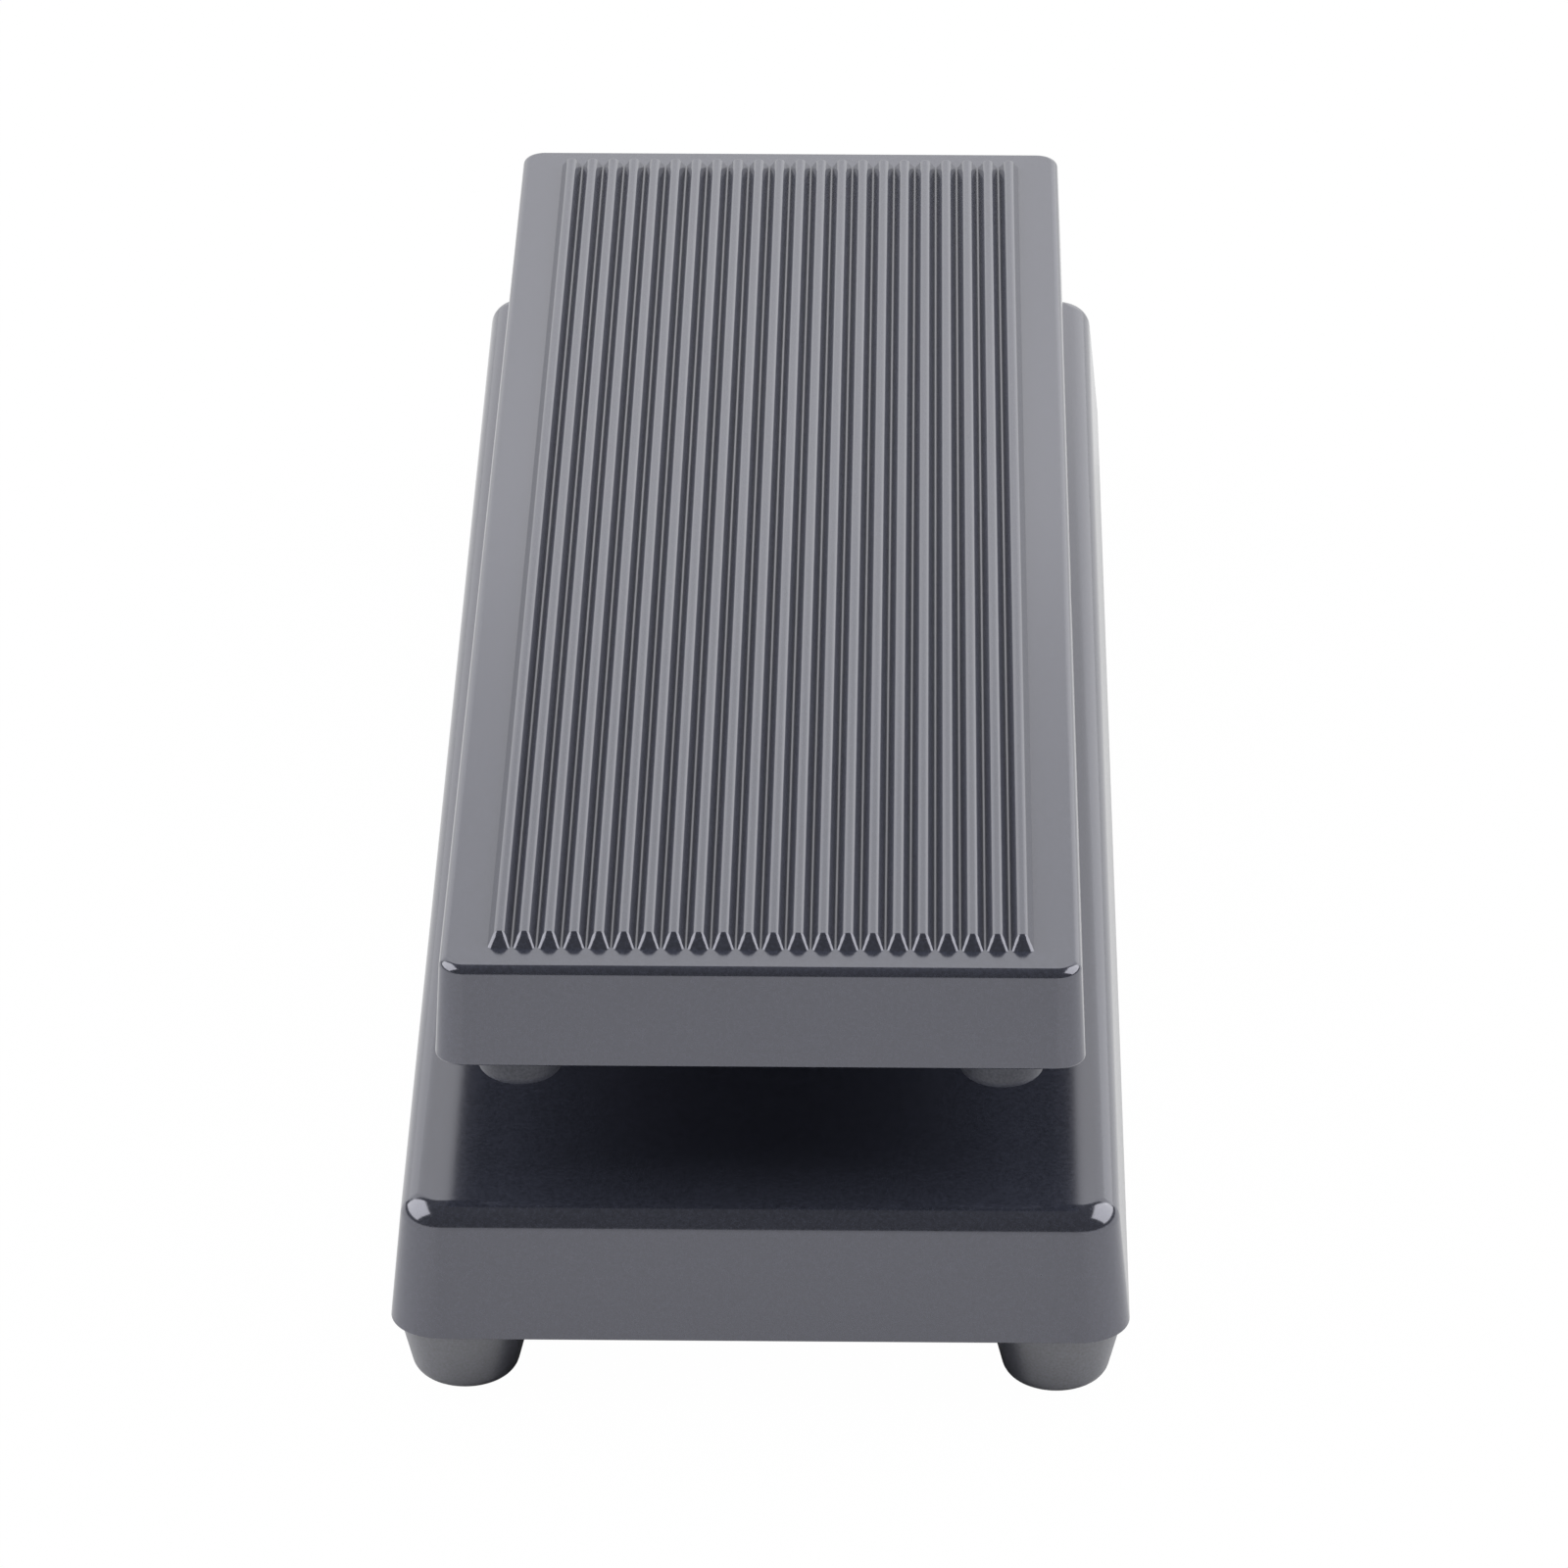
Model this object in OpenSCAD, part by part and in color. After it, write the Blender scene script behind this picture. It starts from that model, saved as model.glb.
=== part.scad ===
// Volume pedal: a ribbed treadle rocking on a cross axle above a low base.
// Millimetres. +Z is up, +Y runs from the heel end to the toe end, +X is to the right.
// The origin lies on the floor under the middle of the base.

/* [Base casing] */
// Width of the casing at its lower rim
base_w = 82.6; // [76:0.1:92]
// Length of the casing at its lower rim
base_l = 255; // [245:1:275]
// Height of the casing from its lower rim to its top face
base_h = 15.6; // [15.4:0.1:18]
// Draft of the casing's walls, degrees
base_draft = 4.6; // [2:0.1:6]
// Plan radius of the casing's corners at the rim
base_corner_r = 5.8; // [4.6:0.1:8]
// Radius of the casing's rounded top edges
base_edge_r = 2.8; // [1.5:0.1:3]
// Thickness of the casing's walls
base_wall = 2.5; // [2:0.1:3]

/* [Bottom plate] */
// Thickness of the bottom plate
plate_t = 1.5; // [1:0.1:2]
// Width of the casing's rim around the plate
rim_lip = 1.2; // [0.8:0.1:1.6]
// Distance of the plate's middle screws from the casing's sides
plate_screw_inset = 7.5; // [7:0.5:10]
// Distance of the plate's middle screws from the middle of the length
plate_screw_y = 34; // [26:1:38]

/* [Feet] */
// Height of the rubber feet
foot_h = 8.2; // [7:0.1:11]
// Diameter of a foot at its top
foot_top_d = 15.4; // [13:0.1:15.6]
// Diameter of a foot near the floor
foot_low_d = 11.2; // [10.6:0.1:12.5]
// Radius of a foot's rounded lower edge
foot_round = 2.2; // [1:0.1:2.3]
// Distance of a foot's centre from the casing's sides and ends
foot_inset = 8.2; // [7.8:0.1:10]

/* [Treadle] */
// Width of the treadle at its skirt's lower edge
treadle_w = 71.9; // [68:0.1:78]
// Length of the treadle at its skirt's lower edge
treadle_l = 245.4; // [235:0.1:255]
// Height of the treadle from its skirt's lower edge to its top face
treadle_h = 11.8; // [11:0.1:14]
// Draft of the treadle's skirt, degrees
treadle_draft = 2.6; // [2:0.1:6]
// Plan radius of the treadle's corners at the skirt
treadle_corner_r = 3.4; // [3:0.1:7]
// Radius of the treadle's rounded top edges
treadle_edge_r = 1; // [0.6:0.1:1.6]
// Thickness of the treadle's skirt
treadle_wall = 2.5; // [2:0.1:3]
// Thickness of the treadle's top plate
treadle_plate = 3; // [2.5:0.1:3.4]
// Gap between the level treadle's skirt and the casing's top face
treadle_gap = 13.4; // [13:0.1:17]
// Tilt of the treadle as it is left standing, toe end down below zero, degrees
rest_tilt = -1.4; // [-3:0.1:3]

/* [Tread ribs] */
// Number of lengthwise ribs on the treadle
rib_count = 22; // [14:1:22]
// Distance from one rib to the next
rib_pitch = 2.75; // [2.5:0.05:2.9]
// Width of a rib at its foot
rib_base_w = 2.55; // [1.8:0.05:2.6]
// Width of a rib at its crest
rib_top_w = 0.95; // [0.6:0.05:1.4]
// Height of the ribs above the treadle's top face
rib_h = 1.45; // [0.8:0.05:2]
// Plain margin between the ribs' ends and the treadle's ends
rib_margin = 4.9; // [3:0.1:8]

/* [Bumpers] */
// Diameter of a bumper at its seat
bumper_top_d = 10.4; // [10:0.1:11.2]
// Diameter of a bumper at its lower end
bumper_low_d = 9.2; // [8:0.1:10]
// Depth of the bumpers below the treadle's skirt
bumper_drop = 4.5; // [3:0.1:5]
// Distance of a bumper's centre from the treadle's sides
bumper_side = 9.2; // [8.4:0.1:12]
// Distance of a bumper's centre from the treadle's ends
bumper_end = 8.2; // [8.2:0.1:12]
// Depth of a bumper's seat inside the treadle's skirt
bumper_sunk = 1.5; // [1:0.1:2]
// Radius of a bumper's rounded lower edge
bumper_round = 1.4; // [0.8:0.1:1.6]
// Diameter of the stem that holds a bumper in its boss
bumper_stem_d = 4; // [3:0.1:5]
// Length of that stem
bumper_stem_l = 5; // [3:0.1:5.4]

/* [Pivot] */
// Diameter of the pivot axle
axle_d = 6; // [5:0.1:7]
// Height of the axle's centre above the level skirt's lower edge
pivot_rise = 1; // [0.5:0.1:1.4]
// Thickness of the treadle's two lugs
lug_t = 5; // [4:0.1:6]
// Radius of the lugs and of the housing's ears around the axle
lug_r = 6; // [5.6:0.1:6.2]
// Thickness of the housing's two ears
ear_t = 6; // [5:0.1:8]
// Wall of the pivot bushes
bush_wall = 1.2; // [1:0.1:1.4]
// Thickness of the bushes' flanges
flange_t = 1; // [0.8:0.1:1.2]
// Thickness of the friction washers
washer_t = 0.8; // [0.5:0.1:1.2]
// Thickness of the retaining clips
clip_t = 0.8; // [0.6:0.1:1]
// Outer diameter of the retaining clips
clip_d = 10; // [9:0.1:11]
// Depth of the clips' grooves in the axle
groove_depth = 0.7; // [0.5:0.1:0.8]

/* [Pivot housing] */
// Width of the pivot housing
housing_w = 42; // [40:1:46]
// Height of the housing's roof above the casing
housing_h = 9.5; // [9:0.1:10]
// Thickness of the housing's walls and roof
housing_wall = 2.5; // [2:0.1:2.8]
// Corner radius of the housing in plan
housing_corner_r = 5; // [4:0.5:6]
// Length of the housing behind the axle
housing_back = 14; // [13:0.5:18]
// Length of the housing past the potentiometer
housing_front = 13; // [12:0.5:15]
// Diameter of the housing's screw bosses
housing_boss_d = 5.6; // [5.4:0.1:6]

/* [Gear drive] */
// Module of the gear teeth
gear_module = 0.8; // [0.75:0.01:0.82]
// Teeth of the pinion
pinion_teeth = 10; // [10:1:11]
// Teeth of the full circle that the sector is cut from
sector_teeth = 128; // [124:2:130]
// Teeth on the sector
sector_cut = 7; // [5:2:7]
// Pressure angle of the teeth, degrees
pressure_angle = 25; // [25:1:27]
// Height of a tooth above the pitch circle, in modules
addendum = 0.8; // [0.7:0.05:0.85]
// Depth of a tooth below the pitch circle, in modules
dedendum = 1; // [0.95:0.05:1.1]
// Slack of each tooth's flank at the pitch circle
flank_slack = 0.06; // [0.04:0.01:0.1]
// Thickness of the sector
sector_t = 5; // [4:0.1:6]
// Width of the sector's rim behind its teeth
sector_rim = 6; // [5:0.1:7]
// Thickness of the sector's mounting flange
sector_flange_t = 2; // [1.6:0.1:2.4]
// Length of the sector's mounting flange
sector_flange_l = 24; // [23:0.5:28]
// Width of the sector's mounting flange
sector_flange_w = 9; // [8:0.5:10]
// Depth of the sector's screws in the treadle's plate
sector_screw_bite = 1.8; // [1.4:0.1:2]
// Place of the sector's middle plane, to the left of the pedal's middle
sector_x = 8; // [7:0.1:8]
// Extra width of the pinion past each side of the sector
pinion_extra = 1; // [0.5:0.1:1.2]
// Diameter of the pinion's hub
hub_d = 9; // [8.6:0.1:9.4]
// Length of the pinion's hub
hub_l = 3; // [2.8:0.1:3]
// Diameter of the pinion's set screw
set_screw_d = 2; // [1.6:0.1:2.2]
// Room on the heel side of the sector in the openings that it passes through
reach_gap = 8; // [7:0.5:9]
// Room on the toe side of the sector in the housing's roof
swing_gap = 3; // [2.5:0.1:4]

/* [Potentiometer] */
// Diameter of the potentiometer's can
pot_d = 16.5; // [16:0.1:17]
// Depth of the can
pot_l = 9; // [8:0.1:9.4]
// Diameter of the shaft
pot_shaft_d = 4; // [3.6:0.1:4.2]
// Diameter of the threaded bush
pot_bush_d = 7; // [6.6:0.1:7.4]
// Thickness of the bracket
bracket_t = 1.5; // [1.2:0.1:1.6]
// Height of the can above the bracket's foot
can_gap = 0.8; // [0.6:0.1:1]
// Width of the bracket along the pedal
bracket_w = 20; // [19:0.5:22]
// Length of the bracket's foot
bracket_foot = 19.5; // [19:0.5:21]
// Thickness of the potentiometer's washer
pot_washer_t = 0.5; // [0.4:0.1:0.6]
// Thickness of the potentiometer's nut
pot_nut_t = 2; // [1.8:0.1:2.2]
// Width of that nut across its flats
pot_nut_af = 11; // [10.5:0.1:11.5]
// Pitch of the three solder lugs
pot_lug_pitch = 4; // [3.8:0.1:4.2]
// Length of the solder lugs past the can
pot_lug_l = 5; // [4.5:0.1:5.2]
// Width of the solder lugs
pot_lug_w = 2; // [1.6:0.1:2.4]
// Thickness of the solder lugs
pot_lug_t = 0.8; // [0.6:0.1:1]
// Slope of the solder lugs, upwards above zero, degrees
pot_lug_angle = -20; // [-22:1:-18]

/* [Jacks] */
// Distance of each jack from the pedal's middle
jack_x = 18; // [16:0.5:22]
// Diameter of the socket for the plug
jack_bore_d = 6.5; // [6.4:0.05:6.6]
// Depth of the socket
jack_depth = 30; // [28:0.5:31]
// Diameter of the jack's threaded bush
jack_bush_d = 9; // [8.6:0.1:9.4]
// Width of a jack's body
jack_body_w = 14; // [12:0.5:15]
// Height of a jack's body
jack_body_h = 10.4; // [9.6:0.1:10.6]
// Closed wall at the back of a jack's body
jack_back = 2; // [1.5:0.1:2.5]
// Depth of the flat recess in the toe end wall that the jacks sit in
jack_recess = 3.5; // [3.2:0.1:4]
// Width of a jack nut across its flats
jack_nut_af = 11; // [10.6:0.1:11.4]
// Thickness of a jack nut
jack_nut_t = 2; // [1.8:0.1:2.2]
// Length of a jack's bush standing out of its nut
jack_proud = 0.5; // [0.2:0.1:0.6]
// Thickness of a jack washer
jack_washer_t = 0.5; // [0.4:0.1:0.6]
// Width of a jack's solder lugs
jack_lug_w = 3; // [2.6:0.1:3.4]
// Thickness of a jack's solder lugs
jack_lug_t = 0.8; // [0.6:0.1:1]
// Length of a jack's solder lugs
jack_lug_l = 4; // [3.5:0.1:4.5]
// Width of the jacks' recess past their bodies
recess_edge = 2.5; // [2:0.1:3]

/* [Fasteners and wires] */
// Shank diameter of the screws
screw_d = 2.8; // [2.5:0.1:3]
// Head diameter of the screws
screw_head_d = 5.2; // [5:0.1:5.4]
// Head height of the screws
screw_head_h = 1.8; // [1.6:0.1:2]
// Room left past the end of a screw in its blind hole
screw_relief = 1; // [0.8:0.1:1.2]
// Diameter of the casing's screw bosses
boss_d = 7.5; // [7:0.1:8]
// Diameter of the insulated wires
wire_d = 1.3; // [1.1:0.1:1.4]
// Radius of the wires' bends
wire_bend_r = 1.4; // [1:0.1:1.6]
// Straight length of a wire at its solder lug
lead_straight = 3; // [2.8:0.1:3.4]
// Depth of the ground wires below the jacks' solder lugs
ground_drop = 4; // [3.6:0.1:4.2]
// Length of the ground wire's last slope, up to the jacks' solder lugs
ground_slope = 6; // [5:0.5:8]

/* [Clearances] */
// Radial clearance of running fits
run_gap = 0.04; // [0.03:0.01:0.06]
// Clearance between pieces that are fitted together and stay still
fit_gap = 0.1; // [0.05:0.01:0.15]
// Room around a screw's head that is sunk in a foot
head_gap = 0.3; // [0.2:0.05:0.4]
// Room between pieces that move past each other
move_gap = 1; // [0.8:0.1:1.2]

/* [Hidden] */
$fn = 48;
HULL_FN = 32;
FLANK_STEPS = 5;
BEND_STEPS = 4;
WIRE_SIDES = 12;
// Direction that no wire runs along, from which its rings are turned
WIRE_REF = [1, 2, 3];
EPS = 0.01;
CUT = 1;

GRAPHITE = "#45474d";
RUBBER = "#26272a";
STEEL = "#b9bcc2";
BRASS = "#c9a84f";
NYLON = "#e8e6de";
RED_WIRE = "#b23a32";
WHITE_WIRE = "#e8e6de";
BLACK_WIRE = "#2b2b2e";

// Heights of the main faces with the treadle level
rim_z = foot_h;
plate_top_z = rim_z + plate_t;
base_top_z = rim_z + base_h;
ceiling_z = base_top_z - base_wall;
skirt_z = base_top_z + treadle_gap;
tread_z = skirt_z + treadle_h;
under_z = tread_z - treadle_plate;
pivot_z = skirt_z + pivot_rise;
bumper_seat_z = skirt_z + bumper_sunk;
roof_z = base_top_z + housing_h;
roof_under_z = roof_z - housing_wall;

// Depths by which bosses, lugs and ribs run into the walls that carry them
base_root = base_wall / 2;
housing_root = housing_wall / 2;
plate_root = treadle_plate / 2;
rib_root = treadle_plate / 4;

// Gear train: the sector turns with the treadle about the axle
pinion_r = gear_module * pinion_teeth / 2;
sector_r = gear_module * sector_teeth / 2;
sector_root_r = sector_r - dedendum * gear_module;
sector_rim_r = sector_root_r - sector_rim;
gear_ratio = sector_teeth / pinion_teeth;
pot_z = plate_top_z + bracket_t + can_gap + pot_d / 2;
mesh_dist = pinion_r + sector_r;
pot_y = sqrt(pow(mesh_dist, 2) - pow(pivot_z - pot_z, 2));
mesh_angle = asin((pivot_z - pot_z) / mesh_dist);

// Stations across the pedal: sector, pinion, bracket and potentiometer
pinion_l = sector_t + 2 * pinion_extra;
pinion_x0 = -sector_x - pinion_l / 2;
hub_x0 = pinion_x0 + pinion_l;
bush_end_x = hub_x0 + hub_l + move_gap;
pot_nut_x = bush_end_x + move_gap;
pot_washer_x = pot_nut_x + pot_nut_t;
bracket_x = pot_washer_x + pot_washer_t;
can_x = bracket_x + bracket_t;
pot_lug_x = can_x + pot_l / 4;
shaft_end_x = can_x + pot_l / 3;
shaft_bore_x = can_x + pot_l / 2;

// Pivot stations on each side of the middle
ear_x = housing_w / 2 - ear_t;
bush_seat_x = housing_w / 2;
washer_x = bush_seat_x + flange_t + fit_gap;
lug_x = washer_x + washer_t + fit_gap;
clip_x = lug_x + lug_t + fit_gap;
axle_l = 2 * (clip_x + clip_t + fit_gap + move_gap);
bush_r = axle_d / 2 + run_gap + bush_wall;
flange_r = bush_r + bush_wall / 2;

// Housing along the pedal
housing_y0 = -housing_back;
housing_y1 = pot_y + pot_d / 2 + housing_front;
housing_l = housing_y1 - housing_y0;
housing_boss_inset = housing_wall + housing_boss_d / 2 + fit_gap;

// Toe end wall with its jacks
jack_z = rim_z + base_h / 2;
jack_face_y = base_l / 2 - jack_recess;
jack_seat_y = jack_face_y - base_wall;
jack_mouth_y = jack_face_y + jack_washer_t + jack_nut_t + jack_proud;
jack_back_y = jack_mouth_y - jack_depth - jack_back;
jack_lug_dx = jack_body_w / 4;
recess_w = 2 * (jack_x + jack_body_w / 2 + recess_edge);
recess_h = jack_nut_af + move_gap;

// Solder lugs of the potentiometer, in the Y-Z plane, and the first run of their wires
pot_lug_dir = [cos(pot_lug_angle), sin(pot_lug_angle)];
pot_lug_side = [-pot_lug_dir[1], pot_lug_dir[0]];
pot_lead_out = lead_straight * [0, pot_lug_dir[0], pot_lug_dir[1]];
jack_lead_out = [0, -lead_straight, 0];
ground_step = jack_lug_w / 4;

foot_places = [for (sx = [-1, 1], sy = [-1, 1])
  [sx * (base_w / 2 - foot_inset), sy * (base_l / 2 - foot_inset)]];
plate_screw_places = [for (sx = [-1, 1], sy = [-1, 1])
  [sx * (base_w / 2 - plate_screw_inset), sy * plate_screw_y]];
housing_screw_places = [for (sx = [-1, 1],
    y = [housing_y0 + housing_boss_inset, housing_y1 - housing_boss_inset])
  [sx * (housing_w / 2 - housing_boss_inset), y]];
bumper_places = [for (sx = [-1, 1], sy = [-1, 1])
  [sx * (treadle_w / 2 - bumper_side), sy * (treadle_l / 2 - bumper_end)]];
bracket_screw_places = [for (sy = [-1, 1])
  [bracket_x + bracket_foot - screw_head_d / 2 - fit_gap,
    pot_y + sy * (bracket_w - screw_head_d - move_gap) / 2]];

// Sector's flange and its screws
sector_flange_y = sqrt(pow(sector_r, 2) - pow(under_z - pivot_z, 2)) - sector_rim / 2;
sector_screw_dy = (sector_flange_l - screw_head_d) / 2 - fit_gap;
sector_screw_ys = [sector_flange_y - sector_screw_dy, sector_flange_y + sector_screw_dy];

// Turns what follows about the pivot axle by the treadle's resting tilt.
module on_treadle() {
  translate([0, 0, pivot_z]) rotate([rest_tilt, 0, 0]) translate([0, 0, -pivot_z]) children();
}

// Extrudes a drawing of the Y-Z plane along X from x0.
module along_x(x0, length) {
  translate([x0, 0, 0]) rotate([90, 0, 90]) linear_extrude(length) children();
}

// Cylinder along X.
module rod_x(x0, length, r) {
  translate([x0, 0, 0]) rotate([0, 90, 0]) cylinder(r = r, h = length);
}

// Rectangle with rounded corners, centred.
module round_rect(w, l, r) {
  square([w - 2 * r, l], center = true);
  square([w, l - 2 * r], center = true);
  for (sx = [-1, 1], sy = [-1, 1]) translate([sx * (w / 2 - r), sy * (l / 2 - r)]) circle(r);
}

// Regular hexagon, given across its flats.
module hexagon(af) {
  rotate(180 / 6) circle(d = af / cos(180 / 6), $fn = 6);
}

// Shell's outside: a drafted box with rounded corners and rounded top edges.
module drafted_box(w, l, h, draft, corner_r, edge_r) {
  lean = h * tan(draft);
  top_r = max(corner_r - lean, edge_r + EPS);
  hull() {
    for (sx = [-1, 1], sy = [-1, 1]) {
      translate([sx * (w / 2 - corner_r), sy * (l / 2 - corner_r), 0])
        cylinder(r = corner_r, h = EPS, $fn = HULL_FN);
      translate([sx * (w / 2 - lean - top_r), sy * (l / 2 - lean - top_r), h - edge_r])
        rotate_extrude($fn = HULL_FN) translate([top_r - edge_r, 0])
          intersection() {
            circle(edge_r, $fn = HULL_FN);
            // starts just off the axis, which the hull fills in
            translate([edge_r - top_r + EPS, -edge_r]) square([top_r, 2 * edge_r]);
          }
    }
  }
}

// Shell's inside: a drafted box with plain edges.
module drafted_hollow(w, l, h, draft, corner_r) {
  lean = h * tan(draft);
  hull() {
    for (sx = [-1, 1], sy = [-1, 1]) {
      translate([sx * (w / 2 - corner_r), sy * (l / 2 - corner_r), 0])
        cylinder(r = corner_r, h = EPS, $fn = HULL_FN);
      translate([sx * (w / 2 - corner_r - lean), sy * (l / 2 - corner_r - lean), h - EPS])
        cylinder(r = corner_r, h = EPS, $fn = HULL_FN);
    }
  }
}

// Pan-head screw: head below z = 0, shank above it.
module pan_screw(length) {
  translate([0, 0, -screw_head_h]) cylinder(d = screw_head_d, h = screw_head_h);
  translate([0, 0, -EPS]) cylinder(d = screw_d, h = length + EPS);
}

// Round tapered button with a rounded lower edge, as the feet and bumpers are.
module rubber_button(top_r, low_r, h, edge_r) {
  rotate_extrude() {
    polygon([[0, 0], [low_r - edge_r, 0], [low_r - edge_r, edge_r], [low_r, edge_r], [top_r, h],
      [0, h]]);
    intersection() {
      translate([low_r - edge_r, edge_r]) circle(edge_r);
      square([low_r, edge_r]);
    }
  }
}

// Hole for a screw's shank, with the fit clearance.
module screw_hole(length) {
  cylinder(d = screw_d + 2 * fit_gap, h = length);
}

// Tooth's half angle at a given radius, on an involute flank.
function involute(a) = tan(a) - a * PI / 180;
function flank_angle(pitch_r, teeth, r) =
  let (base_r = pitch_r * cos(pressure_angle), a = acos(min(1, base_r / max(r, base_r))))
  90 / teeth - flank_slack / pitch_r * 180 / PI
  + (involute(pressure_angle) - involute(a)) * 180 / PI;

// One gear tooth along +X, from below the root circle to the tip.
module gear_tooth(pitch_r, teeth) {
  root_r = pitch_r - dedendum * gear_module;
  tip_r = pitch_r + addendum * gear_module;
  radii = [for (i = [0:FLANK_STEPS]) root_r + (tip_r - root_r) * i / FLANK_STEPS];
  up = [for (r = radii) let (a = flank_angle(pitch_r, teeth, r)) r * [cos(a), -sin(a)]];
  down = [for (i = [FLANK_STEPS:-1:0]) [up[i][0], -up[i][1]]];
  foot_x = root_r - gear_module;
  polygon(concat([[foot_x, up[0][1]]], up, down, [[foot_x, -up[0][1]]]));
}

// Direction of a wire's run i, the angle it turns by at point i, and the length that bend takes of a run.
function run_dir(points, i) = (points[i + 1] - points[i]) / norm(points[i + 1] - points[i]);
function bend_angle(points, i) = acos(run_dir(points, i - 1) * run_dir(points, i));
function bend_cut(points, i) = wire_bend_r * tan(bend_angle(points, i) / 2);

// Stations of the round bend at point i: each is a place and the wire's direction there.
function bend_stations(points, i) =
  let (angle = bend_angle(points, i), ahead = run_dir(points, i - 1),
    out = (ahead * cos(angle) - run_dir(points, i)) / sin(angle),
    middle = points[i] - ahead * bend_cut(points, i) - out * wire_bend_r)
  [for (k = [0:BEND_STEPS]) let (a = angle * k / BEND_STEPS)
    [middle + wire_bend_r * (out * cos(a) + ahead * sin(a)), ahead * cos(a) - out * sin(a)]];

// Ring of points around a station.
function wire_ring(station) =
  let (side = cross(WIRE_REF, station[1]), u = side / norm(side), v = cross(station[1], u))
  [for (k = [0:WIRE_SIDES - 1]) let (a = 360 * k / WIRE_SIDES)
    station[0] + wire_d / 2 * (u * cos(a) + v * sin(a))];

// Wire along a list of points: straight runs, with a round bend at each inner point.
module wire(points) {
  last = len(points) - 1;
  stations = [[points[0], run_dir(points, 0)],
    for (i = [1:last - 1]) each bend_stations(points, i),
    [points[last], run_dir(points, last - 1)]];
  n = WIRE_SIDES;
  top = (len(stations) - 1) * n;
  polyhedron(
    points = [for (s = stations) each wire_ring(s)],
    faces = [[for (k = [0:n - 1]) k],
      for (j = [0:n:top - n], k = [0:n - 1]) each [[j + k, j + n + k, j + n + (k + 1) % n],
        [j + k, j + n + (k + 1) % n, j + (k + 1) % n]],
      [for (k = [n - 1:-1:0]) top + k]]);
}

module base_casing() color(GRAPHITE) {
  panel_w = recess_w + 2 * base_wall;
  way_x0 = -sector_x - sector_t / 2 - move_gap;
  way_x1 = can_x + pot_l + move_gap / 2;
  way_y0 = sqrt(pow(sector_rim_r, 2) - pow(pivot_z - ceiling_z, 2)) - reach_gap;
  way_y1 = pot_y + pot_d / 2 + pot_lug_l + move_gap;
  difference() {
    union() {
      difference() {
        translate([0, 0, rim_z])
          drafted_box(base_w, base_l, base_h, base_draft, base_corner_r, base_edge_r);
        translate([0, 0, rim_z - EPS])
          drafted_hollow(base_w - 2 * base_wall, base_l - 2 * base_wall, base_h - base_wall + EPS,
            base_draft, base_corner_r - base_wall);
      }
      for (p = concat(foot_places, plate_screw_places)) translate([p[0], p[1], plate_top_z])
        cylinder(d = boss_d, h = ceiling_z - plate_top_z + base_root);
      translate([-panel_w / 2, jack_seat_y, plate_top_z])
        cube([panel_w, base_wall + base_root, ceiling_z - plate_top_z + base_root]);
    }
    // rebate for the bottom plate
    translate([0, 0, rim_z - CUT]) linear_extrude(plate_t + CUT)
      round_rect(base_w - 2 * rim_lip, base_l - 2 * rim_lip, base_corner_r - rim_lip);
    // pilot holes
    for (p = concat(foot_places, plate_screw_places)) translate([p[0], p[1], plate_top_z - CUT])
      screw_hole(ceiling_z - plate_top_z + CUT);
    // way through for the gear sector and the potentiometer
    translate([way_x0, way_y0, ceiling_z - CUT])
      cube([way_x1 - way_x0, way_y1 - way_y0, base_wall + 2 * CUT]);
    // screw holes under the pivot housing
    for (p = housing_screw_places) translate([p[0], p[1], ceiling_z - CUT])
      screw_hole(base_wall + 2 * CUT);
    // recess and holes for the jacks
    translate([-recess_w / 2, jack_face_y, jack_z - recess_h / 2])
      cube([recess_w, jack_recess + CUT, recess_h]);
    for (sx = [-1, 1]) translate([sx * jack_x, jack_seat_y - CUT, jack_z]) rotate([-90, 0, 0])
      cylinder(d = jack_bush_d + 2 * fit_gap, h = base_wall + 2 * CUT);
  }
}

module bottom_plate() color(STEEL) {
  inset = rim_lip + fit_gap;
  difference() {
    translate([0, 0, rim_z]) linear_extrude(plate_t)
      round_rect(base_w - 2 * inset, base_l - 2 * inset, base_corner_r - inset);
    for (p = concat(foot_places, plate_screw_places, bracket_screw_places))
      translate([p[0], p[1], rim_z - CUT]) screw_hole(plate_t + 2 * CUT);
  }
}

module plate_screws() color(STEEL) {
  for (p = plate_screw_places) translate([p[0], p[1], rim_z])
    pan_screw(base_h - base_wall - screw_relief);
}

// Rubber foot with a sunk screw hole, standing on the floor.
module foot(p) color(RUBBER) {
  seat_h = foot_h / 2;
  translate([p[0], p[1], 0]) difference() {
    rubber_button(foot_top_d / 2, foot_low_d / 2, foot_h, foot_round);
    translate([0, 0, -CUT]) cylinder(d = screw_head_d + 2 * head_gap, h = seat_h + CUT);
    screw_hole(foot_h + CUT);
  }
}

module foot_heel_left() foot(foot_places[0]);
module foot_toe_left() foot(foot_places[1]);
module foot_heel_right() foot(foot_places[2]);
module foot_toe_right() foot(foot_places[3]);

module foot_screws() color(STEEL) {
  for (p = foot_places) translate([p[0], p[1], foot_h / 2])
    pan_screw(foot_h / 2 + base_h - base_wall - screw_relief);
}

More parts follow.
